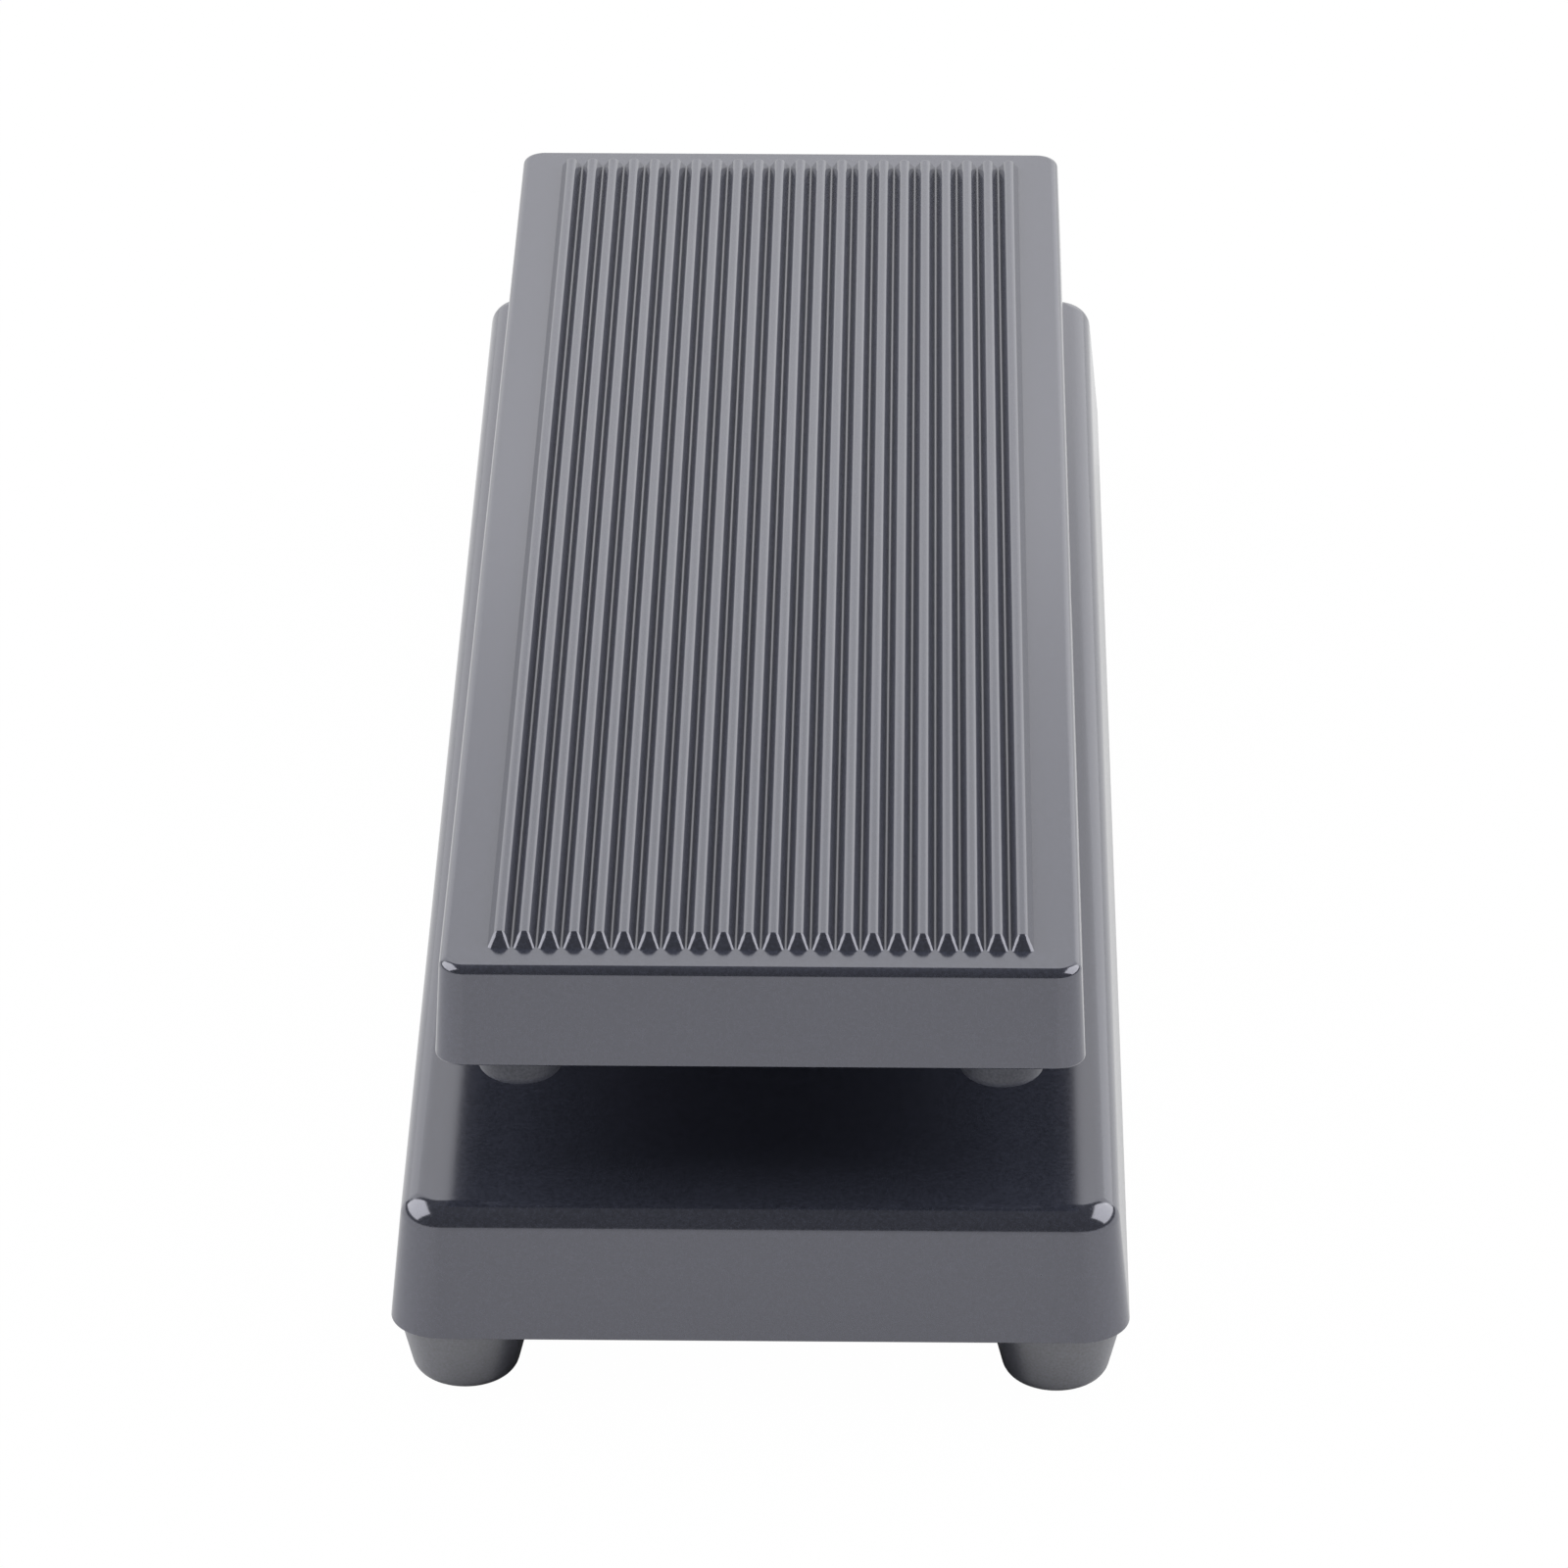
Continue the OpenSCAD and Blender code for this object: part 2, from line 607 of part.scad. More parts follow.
module pivot_housing() color(GRAPHITE) {
  mid_y = (housing_y0 + housing_y1) / 2;
  slot_y0 = sqrt(pow(sector_rim_r, 2) - pow(pivot_z - roof_under_z, 2)) - reach_gap;
  slot_y1 = sector_r + swing_gap;
  difference() {
    union() {
      difference() {
        translate([0, mid_y, base_top_z]) linear_extrude(housing_h)
          round_rect(housing_w, housing_l, housing_corner_r);
        translate([0, mid_y, base_top_z - CUT]) linear_extrude(housing_h - housing_wall + CUT)
          round_rect(housing_w - 2 * housing_wall, housing_l - 2 * housing_wall,
            housing_corner_r - housing_wall);
      }
      for (p = housing_screw_places) translate([p[0], p[1], base_top_z])
        cylinder(d = housing_boss_d, h = housing_h - housing_root);
      for (sx = [0, 1]) mirror([sx, 0, 0]) {
        translate([0, 0, pivot_z]) rod_x(ear_x, ear_t, lug_r);
        translate([ear_x, -lug_r, roof_z - housing_root])
          cube([ear_t, 2 * lug_r, pivot_z - roof_z + housing_root]);
      }
    }
    translate([0, 0, pivot_z]) rod_x(-housing_w, 2 * housing_w, bush_r);
    translate([-sector_x - sector_t / 2 - move_gap, slot_y0, roof_under_z - CUT])
      cube([sector_t + 2 * move_gap, slot_y1 - slot_y0, housing_wall + 2 * CUT]);
    for (p = housing_screw_places) translate([p[0], p[1], base_top_z - CUT])
      screw_hole(housing_h - housing_wall + CUT);
  }
}

module housing_screws() color(STEEL) {
  for (p = housing_screw_places) translate([p[0], p[1], ceiling_z])
    pan_screw(base_wall + housing_h - housing_wall - screw_relief);
}

// Flanged bush in the right ear.
module pivot_bush_right() color(BRASS) translate([0, 0, pivot_z]) difference() {
  union() {
    rod_x(ear_x, ear_t, bush_r);
    rod_x(bush_seat_x, flange_t, flange_r);
  }
  rod_x(ear_x - CUT, ear_t + flange_t + 2 * CUT, axle_d / 2 + run_gap);
}

module pivot_bush_left() mirror([1, 0, 0]) pivot_bush_right();

module pot_bracket() color(STEEL) {
  tab_top_z = pot_z + pot_nut_af / 2 + 2 * move_gap;
  difference() {
    translate([bracket_x, pot_y - bracket_w / 2, plate_top_z]) {
      cube([bracket_t, bracket_w, tab_top_z - plate_top_z]);
      cube([bracket_foot, bracket_w, bracket_t]);
    }
    translate([0, pot_y, pot_z]) rod_x(bracket_x - CUT, bracket_t + 2 * CUT, pot_bush_d / 2 + fit_gap);
    for (p = bracket_screw_places) translate([p[0], p[1], plate_top_z - CUT])
      screw_hole(bracket_t + 2 * CUT);
  }
}

module bracket_screws() color(STEEL) {
  for (p = bracket_screw_places) translate([p[0], p[1], plate_top_z + bracket_t]) mirror([0, 0, 1])
    pan_screw(bracket_t + plate_t);
}

module pot_body() color(STEEL) translate([0, pot_y, pot_z]) difference() {
  union() {
    rod_x(can_x, pot_l, pot_d / 2);
    rod_x(bush_end_x, can_x - bush_end_x + EPS, pot_bush_d / 2);
    for (i = [-1:1]) along_x(pot_lug_x, pot_lug_t) rotate(pot_lug_angle)
      translate([pot_d / 4, i * pot_lug_pitch - pot_lug_w / 2])
        square([pot_d / 4 + pot_lug_l, pot_lug_w]);
  }
  rod_x(bush_end_x - CUT, shaft_bore_x - bush_end_x + CUT, pot_shaft_d / 2 + run_gap);
}

module pot_washer() color(STEEL) translate([0, pot_y, pot_z]) difference() {
  rod_x(pot_washer_x, pot_washer_t, pot_nut_af / 2);
  rod_x(pot_washer_x - CUT, pot_washer_t + 2 * CUT, pot_bush_d / 2 + fit_gap);
}

module pot_nut() color(STEEL) translate([0, pot_y, pot_z]) difference() {
  along_x(pot_nut_x, pot_nut_t) hexagon(pot_nut_af);
  rod_x(pot_nut_x - CUT, pot_nut_t + 2 * CUT, pot_bush_d / 2 + fit_gap);
}

// Jack with its threaded bush through the toe end wall.
module jack(sx) color(RUBBER) translate([sx * jack_x, 0, jack_z]) difference() {
  union() {
    translate([-jack_body_w / 2, jack_back_y, -jack_body_h / 2])
      cube([jack_body_w, jack_seat_y - jack_back_y, jack_body_h]);
    translate([0, jack_seat_y - EPS, 0]) rotate([-90, 0, 0])
      cylinder(d = jack_bush_d, h = jack_mouth_y - jack_seat_y + EPS);
    for (dx = [-1, 1])
      translate([dx * jack_lug_dx - jack_lug_w / 2, jack_back_y - jack_lug_l, -jack_lug_t / 2])
        cube([jack_lug_w, jack_lug_l + EPS, jack_lug_t]);
  }
  translate([0, jack_mouth_y - jack_depth, 0]) rotate([-90, 0, 0])
    cylinder(d = jack_bore_d, h = jack_depth + CUT);
}

module input_jack() jack(1);
module output_jack() jack(-1);

module jack_washer(sx) color(STEEL) translate([sx * jack_x, jack_face_y, jack_z]) rotate([-90, 0, 0])
  difference() {
    cylinder(d = jack_nut_af, h = jack_washer_t);
    translate([0, 0, -CUT]) cylinder(d = jack_bush_d + 2 * fit_gap, h = jack_washer_t + 2 * CUT);
  }

module input_jack_washer() jack_washer(1);
module output_jack_washer() jack_washer(-1);

module jack_nut(sx) color(STEEL) translate([sx * jack_x, jack_face_y + jack_washer_t, jack_z])
  rotate([-90, 0, 0]) difference() {
    linear_extrude(jack_nut_t) rotate(180 / 6) hexagon(jack_nut_af);
    translate([0, 0, -CUT]) cylinder(d = jack_bush_d + 2 * fit_gap, h = jack_nut_t + 2 * CUT);
  }

module input_jack_nut() jack_nut(1);
module output_jack_nut() jack_nut(-1);

// Point where a wire leaves the potentiometer's solder lug: i counts the lugs from -1, the lowest, to 1.
function pot_lug_end(i) =
  let (q = pot_lug_dir * (pot_d / 2 + pot_lug_l + fit_gap) + pot_lug_side * i * pot_lug_pitch)
  [pot_lug_x + pot_lug_t / 2, pot_y + q[0], pot_z + q[1]];

// Point where a wire leaves a jack's solder lug: sx picks the jack, dx its inner or outer lug,
// and off is a place across that lug.
function jack_lug_end(sx, dx, off = 0) =
  [sx * (jack_x + dx * jack_lug_dx) + off, jack_back_y - jack_lug_l - fit_gap, jack_z];

module input_lead() color(RED_WIRE) {
  a = pot_lug_end(1);
  b = jack_lug_end(1, -1);
  wire([a, a + pot_lead_out, b + jack_lead_out, b]);
}

module output_lead() color(WHITE_WIRE) {
  a = pot_lug_end(0);
  b = jack_lug_end(-1, -1);
  wire([a, a + pot_lead_out, b + jack_lead_out, b]);
}

module ground_lead() color(BLACK_WIRE) {
  a = pot_lug_end(-1);
  b = jack_lug_end(-1, 1, ground_step);
  low = b + jack_lead_out - [0, ground_slope, ground_drop];
  wire([a, a + pot_lead_out, low, b + jack_lead_out, b]);
}

module ground_link() color(BLACK_WIRE) {
  a = jack_lug_end(1, 1);
  b = jack_lug_end(-1, 1, -ground_step);
  low = jack_lead_out - [0, 0, ground_drop];
  wire([a, a + jack_lead_out, a + low, b + low, b + jack_lead_out, b]);
}

// Lengthwise ribs with hipped ends on the treadle's top face.
module tread_ribs() {
  end_y = treadle_l / 2 - treadle_h * tan(treadle_draft) - rib_margin;
  intersection() {
    translate([0, treadle_l / 2, tread_z]) rotate([90, 0, 0]) linear_extrude(treadle_l)
      for (i = [0:rib_count - 1]) translate([(i - (rib_count - 1) / 2) * rib_pitch, 0])
        polygon([[-rib_base_w / 2, -rib_root], [rib_base_w / 2, -rib_root], [rib_base_w / 2, 0],
          [rib_top_w / 2, rib_h], [-rib_top_w / 2, rib_h], [-rib_base_w / 2, 0]]);
    translate([0, 0, tread_z]) along_x(-treadle_w / 2, treadle_w)
      polygon([[-end_y, -rib_root], [end_y, -rib_root], [end_y, 0], [end_y - rib_h, rib_h],
        [rib_h - end_y, rib_h], [-end_y, 0]]);
  }
}

module treadle() color(GRAPHITE) on_treadle() {
  root_z = under_z + plate_root;
  difference() {
    union() {
      difference() {
        translate([0, 0, skirt_z])
          drafted_box(treadle_w, treadle_l, treadle_h, treadle_draft, treadle_corner_r, treadle_edge_r);
        translate([0, 0, skirt_z - EPS])
          drafted_hollow(treadle_w - 2 * treadle_wall, treadle_l - 2 * treadle_wall,
            treadle_h - treadle_plate + EPS, treadle_draft, treadle_corner_r - treadle_wall);
      }
      tread_ribs();
      for (p = bumper_places) translate([p[0], p[1], bumper_seat_z])
        cylinder(d = bumper_top_d, h = root_z - bumper_seat_z);
      // pivot lugs
      for (sx = [0, 1]) mirror([sx, 0, 0]) {
        translate([0, 0, pivot_z]) rod_x(lug_x, lug_t, lug_r);
        translate([lug_x, -lug_r, pivot_z]) cube([lug_t, 2 * lug_r, root_z - pivot_z]);
      }
    }
    translate([0, 0, pivot_z]) rod_x(-treadle_w, 2 * treadle_w, axle_d / 2 + fit_gap / 2);
    for (p = bumper_places) translate([p[0], p[1], bumper_seat_z - CUT])
      cylinder(d = bumper_stem_d + fit_gap, h = bumper_stem_l + fit_gap + CUT);
    for (y = sector_screw_ys) translate([-sector_x, y, under_z - CUT])
      screw_hole(sector_screw_bite + fit_gap + CUT);
  }
}

module pivot_axle() color(STEEL) on_treadle() translate([0, 0, pivot_z]) difference() {
  rod_x(-axle_l / 2, axle_l, axle_d / 2);
  for (sx = [0, 1]) mirror([sx, 0, 0]) difference() {
    rod_x(clip_x - fit_gap / 2, clip_t + fit_gap, axle_d / 2 + CUT);
    rod_x(clip_x - CUT, clip_t + 2 * CUT, axle_d / 2 - groove_depth);
  }
}

module axle_clips() color(STEEL) on_treadle() translate([0, 0, pivot_z]) for (sx = [0, 1])
  mirror([sx, 0, 0]) difference() {
    rod_x(clip_x, clip_t, clip_d / 2);
    rod_x(clip_x - CUT, clip_t + 2 * CUT, axle_d / 2 - groove_depth + fit_gap / 2);
    translate([clip_x - CUT, -axle_d / 2 + groove_depth, -clip_d])
      cube([clip_t + 2 * CUT, axle_d - 2 * groove_depth, clip_d]);
  }

module friction_washers() color(NYLON) on_treadle() translate([0, 0, pivot_z]) for (sx = [0, 1])
  mirror([sx, 0, 0]) difference() {
    rod_x(washer_x, washer_t, flange_r);
    rod_x(washer_x - CUT, washer_t + 2 * CUT, axle_d / 2 + fit_gap / 2);
  }

// Rubber bumper with its stem, under the treadle.
module bumper(p) color(RUBBER) on_treadle() {
  seat_h = bumper_seat_z - skirt_z + bumper_drop;
  translate([p[0], p[1], skirt_z - bumper_drop]) {
    rubber_button(bumper_top_d / 2, bumper_low_d / 2, seat_h, bumper_round);
    translate([0, 0, seat_h - EPS]) cylinder(d = bumper_stem_d, h = bumper_stem_l + EPS);
  }
}

module bumper_heel_left() bumper(bumper_places[0]);
module bumper_toe_left() bumper(bumper_places[1]);
module bumper_heel_right() bumper(bumper_places[2]);
module bumper_toe_right() bumper(bumper_places[3]);

module gear_sector() color(NYLON) on_treadle() {
  tooth_step = 360 / sector_teeth;
  low_angle = -mesh_angle - sector_cut / 2 * tooth_step;
  high_angle = asin((under_z - pivot_z) / sector_r);
  big = 2 * sector_r;
  difference() {
    union() {
      translate([0, 0, pivot_z]) along_x(-sector_x - sector_t / 2, sector_t) {
        intersection() {
          difference() {
            circle(sector_root_r);
            circle(sector_rim_r);
          }
          polygon([[0, 0], big * [cos(low_angle), sin(low_angle)], [big, big * tan(high_angle)]]);
          translate([0, -big]) square([big, big + under_z - pivot_z - sector_flange_t / 2]);
        }
        for (i = [0:sector_cut - 1])
          rotate(-mesh_angle + (i - (sector_cut - 1) / 2) * tooth_step)
            gear_tooth(sector_r, sector_teeth);
      }
      translate([-sector_x, sector_flange_y, under_z - sector_flange_t / 2])
        cube([sector_flange_w, sector_flange_l, sector_flange_t], center = true);
    }
    for (y = sector_screw_ys) translate([-sector_x, y, under_z - sector_flange_t - CUT])
      screw_hole(sector_flange_t + 2 * CUT);
  }
}

module sector_screws() color(STEEL) on_treadle() for (y = sector_screw_ys)
  translate([-sector_x, y, under_z - sector_flange_t])
    pan_screw(sector_flange_t + sector_screw_bite);

// Turns the shaft's pieces to the place that goes with the treadle's tilt.
module on_shaft() {
  translate([0, pot_y, pot_z]) rotate([-rest_tilt * gear_ratio, 0, 0]) children();
}

module pot_shaft() color(STEEL) on_shaft()
  rod_x(pinion_x0, shaft_end_x - pinion_x0, pot_shaft_d / 2);

module drive_pinion() color(BRASS) on_shaft() difference() {
  union() {
    along_x(pinion_x0, pinion_l) {
      circle(pinion_r - dedendum * gear_module);
      for (i = [0:pinion_teeth - 1])
        rotate(180 - mesh_angle + (i + 0.5) * 360 / pinion_teeth) gear_tooth(pinion_r, pinion_teeth);
    }
    rod_x(hub_x0 - EPS, hub_l + EPS, hub_d / 2);
  }
  rod_x(pinion_x0 - CUT, pinion_l + hub_l + 2 * CUT, pot_shaft_d / 2 + fit_gap / 2);
  translate([hub_x0 + hub_l / 2, 0, 0]) cylinder(d = set_screw_d + fit_gap, h = hub_d);
}

module pinion_set_screw() color(STEEL) on_shaft()
  translate([hub_x0 + hub_l / 2, 0, pot_shaft_d / 2 + fit_gap])
    cylinder(d = set_screw_d, h = (hub_d - pot_shaft_d) / 2 - 2 * fit_gap);

base_casing();
bottom_plate();
plate_screws();
foot_heel_left();
foot_heel_right();
foot_toe_left();
foot_toe_right();
foot_screws();
pivot_housing();
housing_screws();
pivot_bush_left();
pivot_bush_right();
pot_bracket();
bracket_screws();
pot_body();
pot_washer();
pot_nut();
input_jack();
output_jack();
input_jack_washer();
output_jack_washer();
input_jack_nut();
output_jack_nut();
input_lead();
output_lead();
ground_lead();
ground_link();
treadle();
pivot_axle();
axle_clips();
friction_washers();
bumper_heel_left();
bumper_heel_right();
bumper_toe_left();
bumper_toe_right();
gear_sector();
sector_screws();
pot_shaft();
drive_pinion();
pinion_set_screw();
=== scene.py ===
"""Looks of a volume pedal: a ribbed treadle that rocks above a low drafted base.

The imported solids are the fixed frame. The two shells and the rubber buttons are worked out again
as smooth surfaces in the same place, and every other node gets its finish here.
Lengths in the classes are millimetres; the meshes are in metres.
"""
from __future__ import annotations

import logging
import math
from dataclasses import dataclass
from enum import Enum

import bmesh
import bpy
import numpy as np
from mathutils import Matrix, Vector

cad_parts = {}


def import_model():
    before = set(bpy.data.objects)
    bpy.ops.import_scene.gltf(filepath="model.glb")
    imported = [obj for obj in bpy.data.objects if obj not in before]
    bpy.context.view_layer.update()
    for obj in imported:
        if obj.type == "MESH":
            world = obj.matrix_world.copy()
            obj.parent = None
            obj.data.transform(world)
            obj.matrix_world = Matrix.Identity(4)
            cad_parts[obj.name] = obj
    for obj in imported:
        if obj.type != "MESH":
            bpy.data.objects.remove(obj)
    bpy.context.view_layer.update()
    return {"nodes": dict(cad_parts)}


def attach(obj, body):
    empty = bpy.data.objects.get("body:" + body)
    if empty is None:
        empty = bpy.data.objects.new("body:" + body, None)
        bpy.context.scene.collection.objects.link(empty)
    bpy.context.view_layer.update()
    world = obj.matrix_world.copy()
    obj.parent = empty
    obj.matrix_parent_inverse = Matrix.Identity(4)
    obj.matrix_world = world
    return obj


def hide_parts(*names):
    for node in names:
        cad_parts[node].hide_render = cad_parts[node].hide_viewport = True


LOG = logging.getLogger("pedal")
MM = 0.001
WELD_MM = 0.0005
SMOOTH_ANGLE = math.radians(32.0)
ROD_STEPS = 64
WHITE = (1.0, 1.0, 1.0, 1.0)


class Body(Enum):
    """Moving bodies of the pedal."""

    BASE = "base"
    TREADLE = "treadle"


class Slot(Enum):
    """Material slots of the record."""

    GRAPHITE = "graphite_plastic"
    RUBBER = "black_rubber"
    BLACK_PLASTIC = "black_plastic"
    NYLON = "white_nylon"
    BRASS = "brass"
    RED_WIRE = "red_insulation"
    WHITE_WIRE = "white_insulation"
    BLACK_WIRE = "black_insulation"
    PLATE = "plate_steel"
    STEEL = "bright_steel"


class Cut(Enum):
    """Ways to combine two closed solids."""

    JOIN = "UNION"
    REMOVE = "DIFFERENCE"


class Value:
    """A shader number: arithmetic on it adds Math nodes to its tree."""

    def __init__(self, graph: "Graph", socket: bpy.types.NodeSocket) -> None:
        """Keeps the socket and the graph that it belongs to."""
        self.graph = graph
        self.socket = socket

    def _math(self, operation: str, first: "Value | float", second: "Value | float") -> "Value":
        """Adds one Math node.

        Args:
            operation: the node's operation.
            first: left operand.
            second: right operand.

        Returns:
            The node's result.
        """
        made = self.graph.node("ShaderNodeMath", {"operation": operation}, {0: first, 1: second})
        return Value(self.graph, made.outputs[0])

    def __add__(self, other: "Value | float") -> "Value":
        """Sum."""
        return self._math("ADD", self, other)

    def __radd__(self, other: float) -> "Value":
        """Sum with a number on the left."""
        return self._math("ADD", other, self)

    def __sub__(self, other: "Value | float") -> "Value":
        """Difference."""
        return self._math("SUBTRACT", self, other)

    def __mul__(self, other: "Value | float") -> "Value":
        """Product."""
        return self._math("MULTIPLY", self, other)

    def at_least(self, limit: "Value | float") -> "Value":
        """Larger of the value and a limit."""
        return self._math("MAXIMUM", self, limit)

    def size(self) -> "Value":
        """The value without its sign."""
        return self._math("ABSOLUTE", self, 0.0)


class Graph:
    """Node tree of one material or world."""

    def __init__(self, tree: bpy.types.NodeTree) -> None:
        """Empties the tree."""
        self.tree = tree
        tree.nodes.clear()

    def node(self, kind: str, settings: dict | None = None, inputs: dict | None = None) -> bpy.types.Node:
        """Adds a node.

        Args:
            kind: the node's type.
            settings: its properties, set first.
            inputs: values or links of its sockets, by name or number.

        Returns:
            The new node.
        """
        made = self.tree.nodes.new(kind)
        for name, setting in (settings or {}).items():
            setattr(made, name, setting)
        for name, given in (inputs or {}).items():
            if isinstance(given, Value):
                given = given.socket
            if isinstance(given, bpy.types.NodeSocket):
                self.tree.links.new(given, made.inputs[name])
            else:
                made.inputs[name].default_value = given
        return made

    def value(self, kind: str, settings: dict | None = None, inputs: dict | None = None,
              output: str | int = 0) -> Value:
        """Adds a node and returns one of its outputs as a value."""
        return Value(self, self.node(kind, settings, inputs).outputs[output])

    def object_point(self) -> bpy.types.NodeSocket:
        """Object coordinates, in metres."""
        return self.node("ShaderNodeTexCoord").outputs["Object"]

    def noise(self, grain_mm: float) -> Value:
        """Noise on Object coordinates.

        Args:
            grain_mm: size of its largest features.

        Returns:
            A value around 0.5.
        """
        inputs = {"Vector": self.object_point(), "Scale": 1.0 / (grain_mm * MM)}
        return self.value("ShaderNodeTexNoise", {"noise_dimensions": "3D"}, inputs, "Fac")

    def mix_colour(self, factor: Value, low: tuple, high: tuple) -> bpy.types.NodeSocket:
        """Mixes two colours by a value."""
        made = self.node("ShaderNodeMix", {"data_type": "RGBA"}, {0: factor, 6: low, 7: high})
        return made.outputs[2]

    def bump(self, height: Value, depth_mm: float, strength: float) -> bpy.types.NodeSocket:
        """Normal of a bumped surface."""
        inputs = {"Strength": strength, "Distance": depth_mm * MM, "Height": height}
        return self.node("ShaderNodeBump", None, inputs).outputs["Normal"]


@dataclass(frozen=True)
class Finish:
    """A surface finish: colour with fine flecks, gloss and a moulded or rolled grain.

    The base colour runs between two shades with a fine noise and a slow cloudy one; roughness
    follows the same noise, and the grain is a shallow bump.
    """

    name: str
    slot: Slot
    colour: tuple[float, float, float]
    roughness: float
    metallic: float = 0.0
    ior: float = 1.5
    sheen_tint: tuple[float, float, float] = (1.0, 1.0, 1.0)
    fleck_mm: float = 0.3
    fleck_depth: float = 0.2
    cloud_mm: float = 40.0
    cloud_depth: float = 0.06
    roughness_spread: float = 0.08
    grain_mm: float = 0.2
    grain_depth_mm: float = 0.01
    grain_strength: float = 0.2

    def make(self) -> bpy.types.Material:
        """Builds the material.

        Returns:
            A node material on Object coordinates.
        """
        found = bpy.data.materials.get(self.name)
        if found:
            return found
        material = bpy.data.materials.new(self.name)
        material.use_nodes = True
        graph = Graph(material.node_tree)
        fleck = graph.noise(self.fleck_mm)
        cloud = graph.noise(self.cloud_mm)
        shade = 0.5 + (fleck - 0.5) * self.fleck_depth + (cloud - 0.5) * self.cloud_depth
        shader = graph.node("ShaderNodeBsdfPrincipled", None, {
            "Base Color": graph.mix_colour(shade, self._tone(0.0), self._tone(2.0)),
            "Roughness": self.roughness + (fleck - 0.5) * self.roughness_spread,
            "Metallic": self.metallic,
            "IOR": self.ior,
            "Specular Tint": (*self.sheen_tint, 1.0),
            "Normal": graph.bump(graph.noise(self.grain_mm), self.grain_depth_mm, self.grain_strength),
        })
        graph.node("ShaderNodeOutputMaterial", None, {"Surface": shader.outputs[0]})
        material.diffuse_color = (*self.colour, 1.0)
        return material

    def _tone(self, gain: float) -> tuple[float, float, float, float]:
        """Finish's colour times a gain, opaque."""
        return (*(min(1.0, gain * c) for c in self.colour), 1.0)


GRAPHITE = Finish("graphite_satin", Slot.GRAPHITE, (0.036, 0.039, 0.055), 0.14, ior=2.15,
                  sheen_tint=(0.90, 0.90, 1.0), fleck_mm=0.42, fleck_depth=0.6, roughness_spread=0.05,
                  grain_mm=0.3, grain_depth_mm=0.006, grain_strength=0.12)
FOOT_RUBBER = Finish("foot_rubber", Slot.RUBBER, (0.090, 0.093, 0.118), 0.30, ior=2.0, fleck_depth=0.6,
                     grain_mm=0.3, grain_depth_mm=0.01)
# A little darker than the feet's rubber, as painted shade for the bumpers' place under the treadle.
SHADED_BUMPER_RUBBER = Finish("bumper_rubber_painted_shade", Slot.RUBBER, (0.085, 0.089, 0.112), 0.45, fleck_depth=0.6,
                       grain_mm=0.3, grain_depth_mm=0.01)
BLACK_PLASTIC = Finish("jack_plastic", Slot.BLACK_PLASTIC, (0.03, 0.03, 0.032), 0.38)
NYLON = Finish("natural_nylon", Slot.NYLON, (0.80, 0.79, 0.74), 0.42, fleck_depth=0.05)
BRASS = Finish("turned_brass", Slot.BRASS, (0.72, 0.55, 0.25), 0.26, metallic=1.0, fleck_depth=0.1)
RED_WIRE = Finish("red_sleeve", Slot.RED_WIRE, (0.45, 0.05, 0.04), 0.35, fleck_depth=0.08)
WHITE_WIRE = Finish("white_sleeve", Slot.WHITE_WIRE, (0.80, 0.79, 0.75), 0.35, fleck_depth=0.04)
BLACK_WIRE = Finish("black_sleeve", Slot.BLACK_WIRE, (0.02, 0.02, 0.022), 0.35, fleck_depth=0.15)
PLATE = Finish("powder_coat", Slot.PLATE, (0.04, 0.041, 0.045), 0.50, fleck_depth=0.4,
               grain_mm=0.5, grain_depth_mm=0.03, grain_strength=0.4)
STEEL = Finish("zinc_plate", Slot.STEEL, (0.60, 0.61, 0.63), 0.28, metallic=1.0, fleck_depth=0.12)


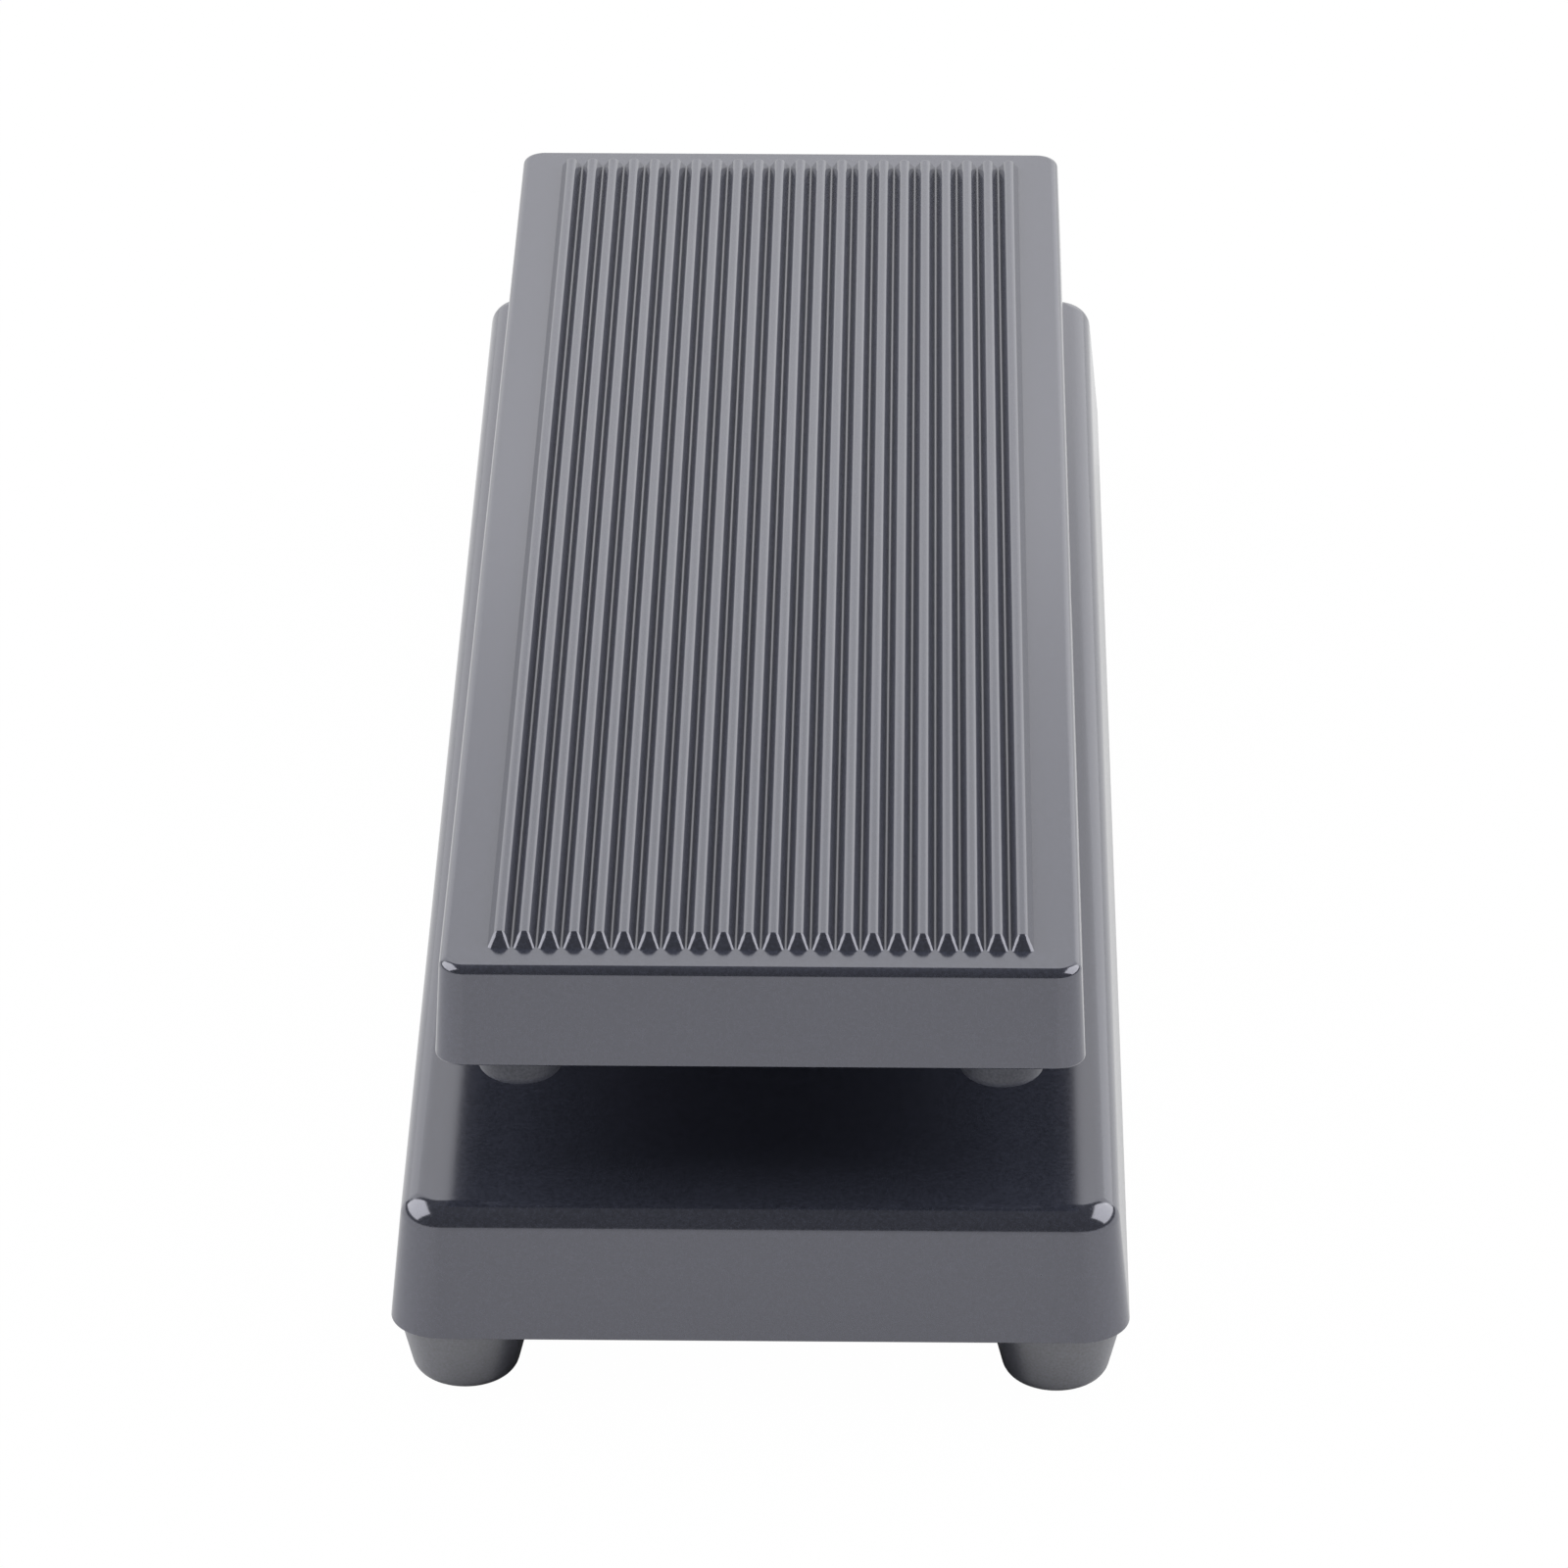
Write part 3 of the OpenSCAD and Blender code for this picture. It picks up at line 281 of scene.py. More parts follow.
class Draft:
    """Points and faces of one piece, gathered as whole arrays."""

    def __init__(self) -> None:
        """Starts with nothing."""
        self._points: list[np.ndarray] = []
        self._faces: list[np.ndarray] = []
        self._count = 0

    def _add(self, points: np.ndarray) -> int:
        """Adds points and returns the number of the first one."""
        first = self._count
        flat = points.reshape(-1, 3)
        self._points.append(flat)
        self._count += len(flat)
        return first

    def grid(self, points: np.ndarray, closed: bool = False) -> None:
        """Adds a grid of four-sided faces that face along (columns x rows).

        Args:
            points: array of rows, columns and coordinates.
            closed: whether the last column joins the first.
        """
        rows, columns = points.shape[:2]
        number = self._add(points) + np.arange(rows * columns).reshape(rows, columns)
        ahead = np.roll(number, -1, axis=1)
        if not closed:
            number, ahead = number[:, :-1], ahead[:, :-1]
        quads = np.stack([number[:-1], ahead[:-1], ahead[1:], number[1:]], axis=-1)
        self._faces.append(quads.reshape(-1, 4))

    def polygon(self, points: np.ndarray) -> None:
        """Adds one flat face, counterclockwise seen from outside."""
        first = self._add(points)
        self._faces.append((first + np.arange(len(points))).reshape(1, -1))

    def to_object(self, name: str, move: np.ndarray | None = None) -> bpy.types.Object:
        """Makes the mesh object, welds its seams and drops faces without area.

        Args:
            name: the piece's name.
            move: 4 x 4 matrix that puts the piece in its place, in millimetres.

        Returns:
            The new object, at the origin.
        """
        points = np.concatenate(self._points)
        if move is not None:
            points = points @ move[:3, :3].T + move[:3, 3]
        sizes = np.concatenate([np.full(len(f), f.shape[1]) for f in self._faces])
        corners = np.concatenate([f.ravel() for f in self._faces])
        mesh = bpy.data.meshes.new(name)
        mesh.vertices.add(len(points))
        mesh.vertices.foreach_set("co", (points * MM).astype(np.float32).ravel())
        mesh.loops.add(len(corners))
        mesh.loops.foreach_set("vertex_index", corners.astype(np.int32))
        mesh.polygons.add(len(sizes))
        starts = np.concatenate([[0], np.cumsum(sizes)[:-1]])
        mesh.polygons.foreach_set("loop_start", starts.astype(np.int32))
        mesh.update(calc_edges=True)
        work = bmesh.new()
        work.from_mesh(mesh)
        bmesh.ops.remove_doubles(work, verts=work.verts, dist=WELD_MM * MM)
        bmesh.ops.dissolve_degenerate(work, edges=work.edges, dist=WELD_MM * MM)
        work.to_mesh(mesh)
        work.free()
        made = bpy.data.objects.new(name, mesh)
        bpy.context.scene.collection.objects.link(made)
        return made


def rounded_outline(half_w: np.ndarray, half_l: np.ndarray, radius: np.ndarray,
                    steps: int) -> np.ndarray:
    """Rounded rectangles in plan, counterclockwise from the right side's far corner.

    Each corner is an arc of the given radius about the point that lies one radius inside both
    sides, and straight sides join the arcs.

    Args:
        half_w: half widths, one for each rectangle.
        half_l: half lengths.
        radius: corner radii.
        steps: steps of each corner's arc.

    Returns:
        Array of rectangles, points and (x, y).
    """
    angle = np.linspace(0.0, math.pi / 2, steps + 1)
    turn = angle[None, :] + (math.pi / 2 * np.arange(4))[:, None]
    side_x = np.array([1.0, -1.0, -1.0, 1.0])[:, None]
    side_y = np.array([1.0, 1.0, -1.0, -1.0])[:, None]
    half_w, half_l, radius = (np.asarray(a, float)[:, None, None] for a in (half_w, half_l, radius))
    x = side_x * (half_w - radius) + radius * np.cos(turn)
    y = side_y * (half_l - radius) + radius * np.sin(turn)
    return np.stack([x, y], axis=-1).reshape(len(half_w), -1, 2)


def lathe(profile: np.ndarray, steps: int) -> np.ndarray:
    """Turns a profile of (radius, height) round the vertical axis.

    Returns:
        Grid of heights, angles and coordinates: x = r cos a, y = r sin a, z = height.
    """
    angle = np.linspace(0.0, 2 * math.pi, steps, endpoint=False)
    ring = np.stack([np.cos(angle), np.sin(angle)], axis=-1)
    flat = profile[:, None, :1] * ring[None]
    height = np.broadcast_to(profile[:, None, 1:], (len(profile), steps, 1))
    return np.concatenate([flat, height], axis=-1)


def fillet(corner: np.ndarray, before: np.ndarray, after: np.ndarray, radius: float,
           steps: int) -> np.ndarray:
    """Round of a corner in a profile.

    The arc touches both sides at radius times the tangent of half the turn from the corner, and
    its points are the arc's centre plus the radius turned from the first side's normal to the
    second's.

    Args:
        corner: sharp corner's point.
        before: a point on the side that comes in.
        after: a point on the side that goes out.
        radius: arc's radius.
        steps: steps of the arc.

    Returns:
        Points of the arc.
    """
    come = (corner - before) / np.linalg.norm(corner - before)
    go = (after - corner) / np.linalg.norm(after - corner)
    cross = come[0] * go[1] - come[1] * go[0]
    turn = math.atan2(cross, float(come @ go))
    side = math.copysign(1.0, turn)
    start = corner - come * radius * math.tan(abs(turn) / 2)
    normal = side * np.array([-come[1], come[0]])
    angle = np.linspace(0.0, turn, steps + 1)[:, None]
    spoke = -normal
    turned = np.concatenate([spoke[0] * np.cos(angle) - spoke[1] * np.sin(angle),
                             spoke[0] * np.sin(angle) + spoke[1] * np.cos(angle)], axis=1)
    return start + normal * radius + turned * radius


def block(low: tuple[float, float, float], high: tuple[float, float, float]) -> Draft:
    """Plain box between two corners, as a tool for cutting or joining."""
    outline = np.array([[high[0], high[1]], [low[0], high[1]], [low[0], low[1]], [high[0], low[1]]])
    return prism(outline, low[2], high[2])


def prism(outline: np.ndarray, low: float, high: float) -> Draft:
    """Upright prism on a counterclockwise outline."""
    made = Draft()
    levels = [np.column_stack([outline, np.full(len(outline), z)]) for z in (low, high)]
    made.grid(np.stack(levels), closed=True)
    made.polygon(levels[1])
    made.polygon(levels[0][::-1])
    return made


def upright(x: float, y: float, z: float) -> np.ndarray:
    """Matrix that moves a piece without turning it."""
    return np.array(Matrix.Translation((x, y, z)))


def along_x(x: float, y: float, z: float) -> np.ndarray:
    """Matrix that lays an upright piece along +X and moves it."""
    return np.array(Matrix.Translation((x, y, z)) @ Matrix.Rotation(math.pi / 2, 4, "Y"))


def along_y(x: float, y: float, z: float) -> np.ndarray:
    """Matrix that lays an upright piece along +Y and moves it."""
    return np.array(Matrix.Translation((x, y, z)) @ Matrix.Rotation(-math.pi / 2, 4, "X"))


def rod(radius: float, length: float) -> Draft:
    """Plain round bar from z = 0, as a tool for cutting or joining."""
    rings = lathe(np.array([[radius, 0.0], [radius, length]]), ROD_STEPS)
    made = Draft()
    made.grid(rings, closed=True)
    made.polygon(rings[-1])
    made.polygon(rings[0][::-1])
    return made


def combine(target: bpy.types.Object, tools: list[bpy.types.Object], cut: Cut) -> None:
    """Joins closed tools to a closed piece, or cuts them out of it, and deletes the tools."""
    for tool in tools:
        change = target.modifiers.new("combine", "BOOLEAN")
        change.operation = cut.value
        change.solver = "MANIFOLD"
        change.object = tool
        done = target.evaluated_get(bpy.context.evaluated_depsgraph_get())
        mesh = bpy.data.meshes.new_from_object(done)
        old = target.data
        target.modifiers.remove(change)
        target.data = mesh
        mesh.name = old.name
        bpy.data.meshes.remove(old)
        bpy.data.meshes.remove(tool.data)


def smooth(piece: bpy.types.Object) -> None:
    """Shades a piece smooth between its sharp edges, with flat faces kept flat."""
    piece.data.shade_smooth()
    piece.data.set_sharp_from_angle(angle=SMOOTH_ANGLE)
    weigh = piece.modifiers.new("flat_faces", "WEIGHTED_NORMAL")
    weigh.keep_sharp = True


def place(piece: bpy.types.Object, body: Body, finish: Finish, *nodes: str) -> None:
    """Dresses a piece, lets it ride on its body and stand for its nodes."""
    piece.data.materials.clear()
    piece.data.materials.append(finish.make())
    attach(piece, body.value)
    if nodes:
        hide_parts(*nodes)
    LOG.info("piece %s on %s, %d faces", piece.name, body.value, len(piece.data.polygons))


@dataclass
class Shell:
    """Drafted box open below, with rounded corners and top edges.

    Its walls lean in by the draft, and at every height the plan is a rounded rectangle inset from
    the rim, with the same corner centres, so a corner's radius shrinks by the inset.
    """

    width: float
    length: float
    height: float
    draft: float
    corner_r: float
    edge_r: float
    wall: float
    top: float
    floor_z: float
    rim_r: float
    least_corner_r: float = 0.3
    rim_steps: int = 4
    arc_steps: int = 12
    corner_steps: int = 14

    def lean(self, height: float) -> float:
        """Inset of a drafted wall at a height above the rim."""
        return height * math.tan(math.radians(self.draft))

    def outside(self) -> np.ndarray:
        """Outer profile from the rim's outer edge to the flat top, as (inset, height).

        The wall runs from the rim in a straight line that touches the top edge's arc.
        """
        centre = np.array([self.lean(self.height) + self.edge_r, self.height - self.edge_r])
        reach = float(np.hypot(*centre))
        slant = math.atan2(centre[0], centre[1]) - math.asin(self.edge_r / reach)
        turn = np.linspace(slant, math.pi / 2, self.arc_steps + 1)
        arc = centre + self.edge_r * np.stack([-np.cos(turn), np.sin(turn)], axis=-1)
        along = arc[0] / np.linalg.norm(arc[0])
        rim = fillet(np.zeros(2), np.array([1.0, 0.0]), along, self.rim_r, self.rim_steps)
        return np.concatenate([rim, arc])

    def inside(self) -> np.ndarray:
        """Inner profile from the ceiling down to the rim's inner edge, as (inset, height)."""
        rise = self.height - self.top
        return np.array([[self.wall + self.lean(rise), rise], [self.wall, 0.0]])

    def rings(self, profile: np.ndarray) -> np.ndarray:
        """Rounded rectangles at each station of a profile, as a grid of coordinates."""
        inset, height = profile[:, 0], profile[:, 1]
        radius = np.maximum(self.corner_r - inset, self.least_corner_r)
        plan = rounded_outline(self.width / 2 - inset, self.length / 2 - inset, radius,
                               self.corner_steps)
        level = np.broadcast_to((self.floor_z + height)[:, None, None], plan.shape[:2] + (1,))
        return np.concatenate([plan, level], axis=-1)

    def sketch(self) -> tuple[Draft, np.ndarray]:
        """Everything but the flat top.

        Returns:
            The faces so far, and the ring around the flat top.
        """
        made = Draft()
        rings = self.rings(np.concatenate([self.inside(), self.outside()]))
        made.grid(rings, closed=True)
        made.polygon(rings[0][::-1])
        return made, rings[-1]


@dataclass
class BaseCasing(Shell):
    """Low casing on the feet, with the jacks' recess in its toe end and a way through its top."""

    width: float = 82.6
    length: float = 255.0
    height: float = 15.6
    draft: float = 4.6
    corner_r: float = 5.8
    edge_r: float = 2.8
    wall: float = 2.5
    top: float = 2.5
    floor_z: float = 8.2
    rim_r: float = 0.15
    plate_t: float = 1.5
    rim_lip: float = 1.2
    boss_r: float = 3.75
    hole_r: float = 1.5
    foot_inset: float = 8.2
    plate_screw_inset: float = 7.5
    plate_screw_y: float = 34.0
    jack_x: float = 18.0
    jack_hole_r: float = 4.6
    recess_w: float = 55.0
    recess_h: float = 12.0
    recess_depth: float = 3.5
    way_x: tuple[float, float] = (-11.5, 14.0)
    way_y: tuple[float, float] = (33.06, 66.45)
    housing_screw_x: float = 15.6
    housing_screw_y: tuple[float, float] = (-8.6, 68.05)
    cut: float = 1.0

    def inside(self) -> np.ndarray:
        """Inner profile with the plate's rebate, from the ceiling down to the rim."""
        rise = self.height - self.top
        return np.array([
            [self.wall + self.lean(rise), rise],
            [self.wall + self.lean(self.plate_t), self.plate_t],
            [self.rim_lip, self.plate_t],
            [self.rim_lip, 0.0],
        ])

    def build(self) -> bpy.types.Object:
        """Makes the casing's mesh.

        Returns:
            The piece.
        """
        made, top_ring = self.sketch()
        made.polygon(top_ring)
        piece = made.to_object("base_shell")
        combine(piece, self._bosses(), Cut.JOIN)
        combine(piece, self._openings(), Cut.REMOVE)
        smooth(piece)
        return piece

    def _boss_places(self) -> list[tuple[float, float]]:
        """Plan places of the screw bosses under the top."""
        x, y = self.width / 2 - self.foot_inset, self.length / 2 - self.foot_inset
        middle = self.width / 2 - self.plate_screw_inset
        ends = [(sx * x, sy * y) for sx in (-1, 1) for sy in (-1, 1)]
        return ends + [(sx * middle, sy * self.plate_screw_y) for sx in (-1, 1) for sy in (-1, 1)]

    def _bosses(self) -> list[bpy.types.Object]:
        """Screw bosses and the panel behind the jacks, which runs on into the end wall."""
        low = self.floor_z + self.plate_t
        high = self.floor_z + self.height - self.top / 2
        tools = [rod(self.boss_r, high - low).to_object("boss", upright(x, y, low))
                 for x, y in self._boss_places()]
        seat = self.length / 2 - self.recess_depth - self.wall
        side = self.recess_w / 2 + self.wall
        root = seat + self.wall + self.wall / 2
        panel = block((-side, seat, low), (side, root, high))
        return tools + [panel.to_object("panel")]

    def _openings(self) -> list[bpy.types.Object]:
        """Recess and holes for the jacks, pilot holes, and the way through the top."""
        face = self.length / 2 - self.recess_depth
        middle = self.floor_z + self.height / 2
        top = self.floor_z + self.height
        ceiling = top - self.top
        recess = block((-self.recess_w / 2, face, middle - self.recess_h / 2),
                       (self.recess_w / 2, self.length / 2 + self.cut, middle + self.recess_h / 2))
        way = block((self.way_x[0], self.way_y[0], ceiling - self.cut),
                    (self.way_x[1], self.way_y[1], top + self.cut))
        low = self.floor_z + self.plate_t - self.cut
        tools = [recess.to_object("recess"), way.to_object("way")]
        seat = face - self.wall - self.cut
        for sx in (-1, 1):
            hole = rod(self.jack_hole_r, self.wall + 2 * self.cut)
            tools.append(hole.to_object("jack_hole", along_y(sx * self.jack_x, seat, middle)))
        for x, y in self._boss_places():
            tools.append(rod(self.hole_r, ceiling - low).to_object("pilot", upright(x, y, low)))
        for sx in (-1, 1):
            for y in self.housing_screw_y:
                hole = rod(self.hole_r, self.top + 2 * self.cut)
                where = upright(sx * self.housing_screw_x, y, ceiling - self.cut)
                tools.append(hole.to_object("screw_hole", where))
        return tools


@dataclass
class Treadle(Shell):
    """Ribbed treadle, tilted about its axle as it is left standing."""

    width: float = 71.9
    length: float = 245.4
    height: float = 11.8
    draft: float = 2.6
    corner_r: float = 3.4
    edge_r: float = 1.0
    wall: float = 2.5
    top: float = 3.0
    floor_z: float = 37.2
    rim_r: float = 0.3
    arc_steps: int = 10
    tilt: float = -1.4
    pivot_z: float = 38.2
    rib_count: int = 22
    rib_pitch: float = 2.75
    rib_base_w: float = 2.55
    rib_top_w: float = 0.95
    rib_h: float = 1.45
    rib_margin: float = 4.9
    rib_edge_r: float = 0.62
    rib_hip_r: float = 1.05
    rib_end_r: float = 0.4
    rib_arc_steps: int = 8
    rib_end_steps: int = 5
    hip_steps: int = 8
    hip_change: float = 0.25
    crest_steps: int = 8
    least_flat: float = 0.02
    foot_level: float = 0.001
    boss_r: float = 5.2
    boss_side: float = 9.2
    boss_end: float = 8.2
    boss_z: float = 38.7
    stem_r: float = 2.05
    stem_l: float = 5.1
    lug_x: float = 23.0
    lug_t: float = 5.0
    lug_r: float = 6.0
    lug_steps: int = 32
    axle_r: float = 3.05
    sector_x: float = -8.0
    sector_hole_y: tuple[float, float] = (38.30, 56.90)
    sector_hole_l: float = 1.9
    hole_r: float = 1.5
    cut: float = 1.0

    def rest(self) -> np.ndarray:
        """Turn about the axle from level to the resting tilt."""
        lift = Matrix.Translation((0.0, 0.0, self.pivot_z))
        return np.array(lift @ Matrix.Rotation(math.radians(self.tilt), 4, "X") @ lift.inverted())

    def rib_end(self) -> float:
        """Distance of the ribs' feet from the middle of the length."""
        return self.length / 2 - self.lean(self.height) - self.rib_margin

    def rib_section(self, height: np.ndarray) -> tuple[np.ndarray, np.ndarray]:
        """Cross-sections of a rib that is cut down to given heights.

        A section is a trapezoid on the rib's foot whose sides keep the rib's slope, with arcs for
        its two top edges. In the hip's first share of the drop the arcs change from the crest's
        radius to the hip's. Where the rib gets lower than an arc is, the arc ends at its foot.

        Args:
            height: heights of the sections.

        Returns:
            Places across the rib and heights, each as an array of sections and points.
        """
        run = (self.rib_base_w - self.rib_top_w) / 2
        slope = math.atan2(self.rib_h, run)
        bend = math.tan(slope / 2)
        half_top = (self.rib_base_w / 2 - height / math.tan(slope))[:, None]
        down = np.clip((1.0 - height / self.rib_h) / self.hip_change, 0.0, 1.0)[:, None]
        wanted = self.rib_edge_r + (self.rib_hip_r - self.rib_edge_r) * down
        radius = np.minimum(wanted, (1.0 - self.least_flat) * half_top / bend)
        reach = np.arccos(np.maximum(1.0 - height[:, None] / radius, math.cos(slope)))
        turn = reach * np.linspace(1.0, 0.0, self.rib_arc_steps + 1)[None, :]
        x = radius * bend - half_top - radius * np.sin(turn)
        z = height[:, None] - radius + radius * np.cos(turn)
        foot = np.where(z[:, :1] > self.foot_level, -self.rib_base_w / 2, x[:, :1])
        half_x = np.concatenate([foot, x], axis=1)
        half_z = np.concatenate([np.zeros_like(foot), z], axis=1)
        return (np.concatenate([half_x, -half_x[:, ::-1]], axis=1),
                np.concatenate([half_z, half_z[:, ::-1]], axis=1))

    def rib_path(self) -> np.ndarray:
        """Heights of a rib along its length, as (y, height).

        Each end is a 45 degree hip with a rounded top, whose stations crowd towards its foot as
        the square of their number.
        """
        end = self.rib_end()
        hip = np.array([-end + self.rib_h, self.rib_h])
        start = np.array([-end, 0.0])
        arc = fillet(hip, start, hip + [1.0, 0.0], self.rib_end_r, self.rib_end_steps)
        share = np.linspace(0.0, 1.0, self.hip_steps + 1)[:-1, None] ** 2
        slope = start + (arc[0] - start) * share
        half = np.concatenate([slope, arc])
        middle = np.linspace(half[-1], half[-1] * [-1.0, 1.0], self.crest_steps + 1)[1:-1]
        return np.concatenate([half, middle, half[::-1] * [-1.0, 1.0]])

    def tread(self) -> np.ndarray:
        """Ribbed field of the top, as a grid along and across the treadle."""
        path = self.rib_path()
        across, up = self.rib_section(path[:, 1])
        middle = (np.arange(self.rib_count) - (self.rib_count - 1) / 2) * self.rib_pitch
        x = middle[None, :, None] + across[:, None, :]
        z = np.broadcast_to(self.floor_z + self.height + up[:, None, :], x.shape)
        y = np.broadcast_to(path[:, 0][:, None, None], x.shape)
        return np.stack([x, y, z], axis=-1).reshape(len(path), -1, 3)

    def build(self) -> bpy.types.Object:
        """Makes the treadle's mesh.

        Returns:
            The piece.
        """
        made, ring = self.sketch()
        field = self.tread()
        made.grid(field)
        self._margins(made, ring, field)
        piece = made.to_object("treadle_shell")
        combine(piece, self._lugs_and_bosses(), Cut.JOIN)
        combine(piece, self._holes(), Cut.REMOVE)
        piece.data.transform(Matrix(self._metres(self.rest())))
        smooth(piece)
        return piece

    @staticmethod
    def _metres(move: np.ndarray) -> list[list[float]]:
        """Matrix in millimetres as one in metres."""
        scaled = move.copy()
        scaled[:3, 3] *= MM
        return scaled.tolist()

    def _margins(self, made: Draft, ring: np.ndarray, field: np.ndarray) -> None:
        """Adds the four flat margins between the ribbed field and the top's rounded edge."""
        corner = self.corner_steps + 1
        loop = np.concatenate([ring, ring])
        edges = (field[-1], field[:, 0], field[0][::-1], field[::-1, -1])
        for number, inner in enumerate(edges):
            start = number * corner + corner // 2
            outer = loop[start:start + corner + 1]
            made.polygon(np.concatenate([outer, inner]))

    def _boss_places(self) -> list[tuple[float, float]]:
        """Plan places of the bumpers' bosses."""
        x, y = self.width / 2 - self.boss_side, self.length / 2 - self.boss_end
        return [(sx * x, sy * y) for sx in (-1, 1) for sy in (-1, 1)]

    def _lugs_and_bosses(self) -> list[bpy.types.Object]:
        """Bumper bosses and the two pivot lugs under the top plate."""
        root = self.floor_z + self.height - self.top / 2
        tools = [rod(self.boss_r, root - self.boss_z).to_object("boss", upright(x, y, self.boss_z))
                 for x, y in self._boss_places()]
        arc = np.linspace(math.pi, 2 * math.pi, self.lug_steps + 1)
        round_end = self.lug_r * np.stack([np.cos(arc), np.sin(arc)], axis=-1) + [0.0, self.pivot_z]
        outline = np.concatenate([round_end, [[self.lug_r, root], [-self.lug_r, root]]])
        for left in (-self.lug_x - self.lug_t, self.lug_x):
            lug = prism(outline, 0.0, self.lug_t)
            stand = np.array([[0, 0, 1, left], [1, 0, 0, 0], [0, 1, 0, 0], [0, 0, 0, 1]], float)
            tools.append(lug.to_object("lug", stand))
        return tools

    def _holes(self) -> list[bpy.types.Object]:
        """Axle bore, stems' holes and the gear sector's pilot holes."""
        under = self.floor_z + self.height - self.top
        axle = rod(self.axle_r, 2 * self.width)
        tools = [axle.to_object("axle", along_x(-self.width, 0.0, self.pivot_z))]
        for x, y in self._boss_places():
            hole = rod(self.stem_r, self.stem_l + self.cut)
            tools.append(hole.to_object("stem", upright(x, y, self.boss_z - self.cut)))
        for y in self.sector_hole_y:
            hole = rod(self.hole_r, self.sector_hole_l + self.cut)
            tools.append(hole.to_object("pilot", upright(self.sector_x, y, under - self.cut)))
        return tools


@dataclass
class RubberButton:
    """Round tapered rubber button with a rounded lower edge and a stem or a sunk screw hole."""

    top_r: float
    low_r: float
    height: float
    round_r: float
    stem_r: float = 0.0
    stem_l: float = 0.0
    bore_r: float = 0.0
    bore_l: float = 0.0
    hole_r: float = 0.0
    edge_r: float = 0.3
    round_steps: int = 8
    edge_steps: int = 4
    turn_steps: int = 72

    def profile(self) -> np.ndarray:
        """Outline from the bottom's middle up to the top's middle, as (radius, height)."""
        bottom = np.array([self.low_r, 0.0])
        shoulder = np.array([self.top_r, self.height])
        middle = np.array([0.0, self.height])
        low = fillet(bottom, np.zeros(2), shoulder, self.round_r, self.round_steps)
        high = fillet(shoulder, bottom, middle, self.edge_r, self.edge_steps)
        parts = [low, high]
        if self.stem_l:
            tip = self.height + self.stem_l
            parts.append(np.array([[self.stem_r, self.height], [self.stem_r, tip]]))
        if self.bore_r:
            seat = np.array([[self.hole_r, self.bore_l], [self.bore_r, self.bore_l]])
            mouth = fillet(np.array([self.bore_r, 0.0]), seat[1], bottom, self.edge_r, self.edge_steps)
            parts = [seat, mouth, *parts, np.array([[self.hole_r, self.height]])]
        return np.concatenate(parts)

    def build(self, name: str, move: np.ndarray) -> bpy.types.Object:
        """Turns the profile into a piece, closed by its ends or through its screw hole.

        Args:
            name: the piece's name.
            move: its place, in millimetres.

        Returns:
            The piece.
        """
        made = Draft()
        rings = lathe(self.profile(), self.turn_steps)
        made.grid(rings, closed=True)
        if self.bore_r:
            made.grid(np.stack([rings[-1], rings[0]]), closed=True)
        else:
            made.polygon(rings[-1])
            made.polygon(rings[0][::-1])
        piece = made.to_object(name, move)
        smooth(piece)
        return piece


def corner_places(side: float, end: float) -> list[tuple[str, float, float]]:
    """Names and plan places of the pedal's four corners."""
    return [(f"{end_name}_{side_name}", x, y)
            for end_name, y in (("heel", -end), ("toe", end))
            for side_name, x in (("left", -side), ("right", side))]


@dataclass
class RubberFeet:
    """Four feet under the casing's corners."""

    button: RubberButton
    side: float = 33.1
    end: float = 119.3

    def build(self) -> None:
        """Makes the feet and lets them stand for their nodes."""
        for corner, x, y in corner_places(self.side, self.end):
            piece = self.button.build(f"rubber_foot_{corner}", upright(x, y, 0.0))
            place(piece, Body.BASE, FOOT_RUBBER, f"foot_{corner}")


@dataclass
class RubberBumpers:
    """Four bumpers under the treadle's corners."""

    button: RubberButton
    treadle: Treadle
    drop: float = 4.5
    side: float = 26.75
    end: float = 114.5

    def build(self) -> None:
        """Makes the bumpers and lets them stand for their nodes."""
        low = self.treadle.floor_z - self.drop
        for corner, x, y in corner_places(self.side, self.end):
            piece = self.button.build(f"rubber_bumper_{corner}", self.treadle.rest() @ upright(x, y, low))
            place(piece, Body.TREADLE, SHADED_BUMPER_RUBBER, f"bumper_{corner}")


class CarriedNodes:
    """Nodes whose own solids show, with their finishes."""

    FINISHES: dict[str, Finish] = {
        "bottom_plate": PLATE, "plate_screws": STEEL, "foot_screws": STEEL,
        "pivot_housing": GRAPHITE, "housing_screws": STEEL,
        "pivot_bush_left": BRASS, "pivot_bush_right": BRASS,
        "pot_bracket": STEEL, "bracket_screws": STEEL, "pot_body": STEEL, "pot_washer": STEEL,
        "pot_nut": STEEL, "input_jack": BLACK_PLASTIC, "output_jack": BLACK_PLASTIC,
        "input_jack_washer": STEEL, "output_jack_washer": STEEL,
        "input_jack_nut": STEEL, "output_jack_nut": STEEL,
        "input_lead": RED_WIRE, "output_lead": WHITE_WIRE,
        "ground_lead": BLACK_WIRE, "ground_link": BLACK_WIRE,
        "pivot_axle": STEEL, "axle_clips": STEEL, "friction_washers": NYLON,
        "gear_sector": NYLON, "sector_screws": STEEL,
        "pot_shaft": STEEL, "drive_pinion": BRASS, "pinion_set_screw": STEEL,
    }

    def dress(self, nodes: dict[str, bpy.types.Object]) -> None:
        """Gives each node that shows its finish."""
        for name, finish in self.FINISHES.items():
            node = nodes[name]
            if node.hide_render:
                continue
            if not node.material_slots:
                node.data.materials.append(finish.make())
            for slot in node.material_slots:
                slot.material = finish.make()
            LOG.info("node %s in %s", name, finish.name)


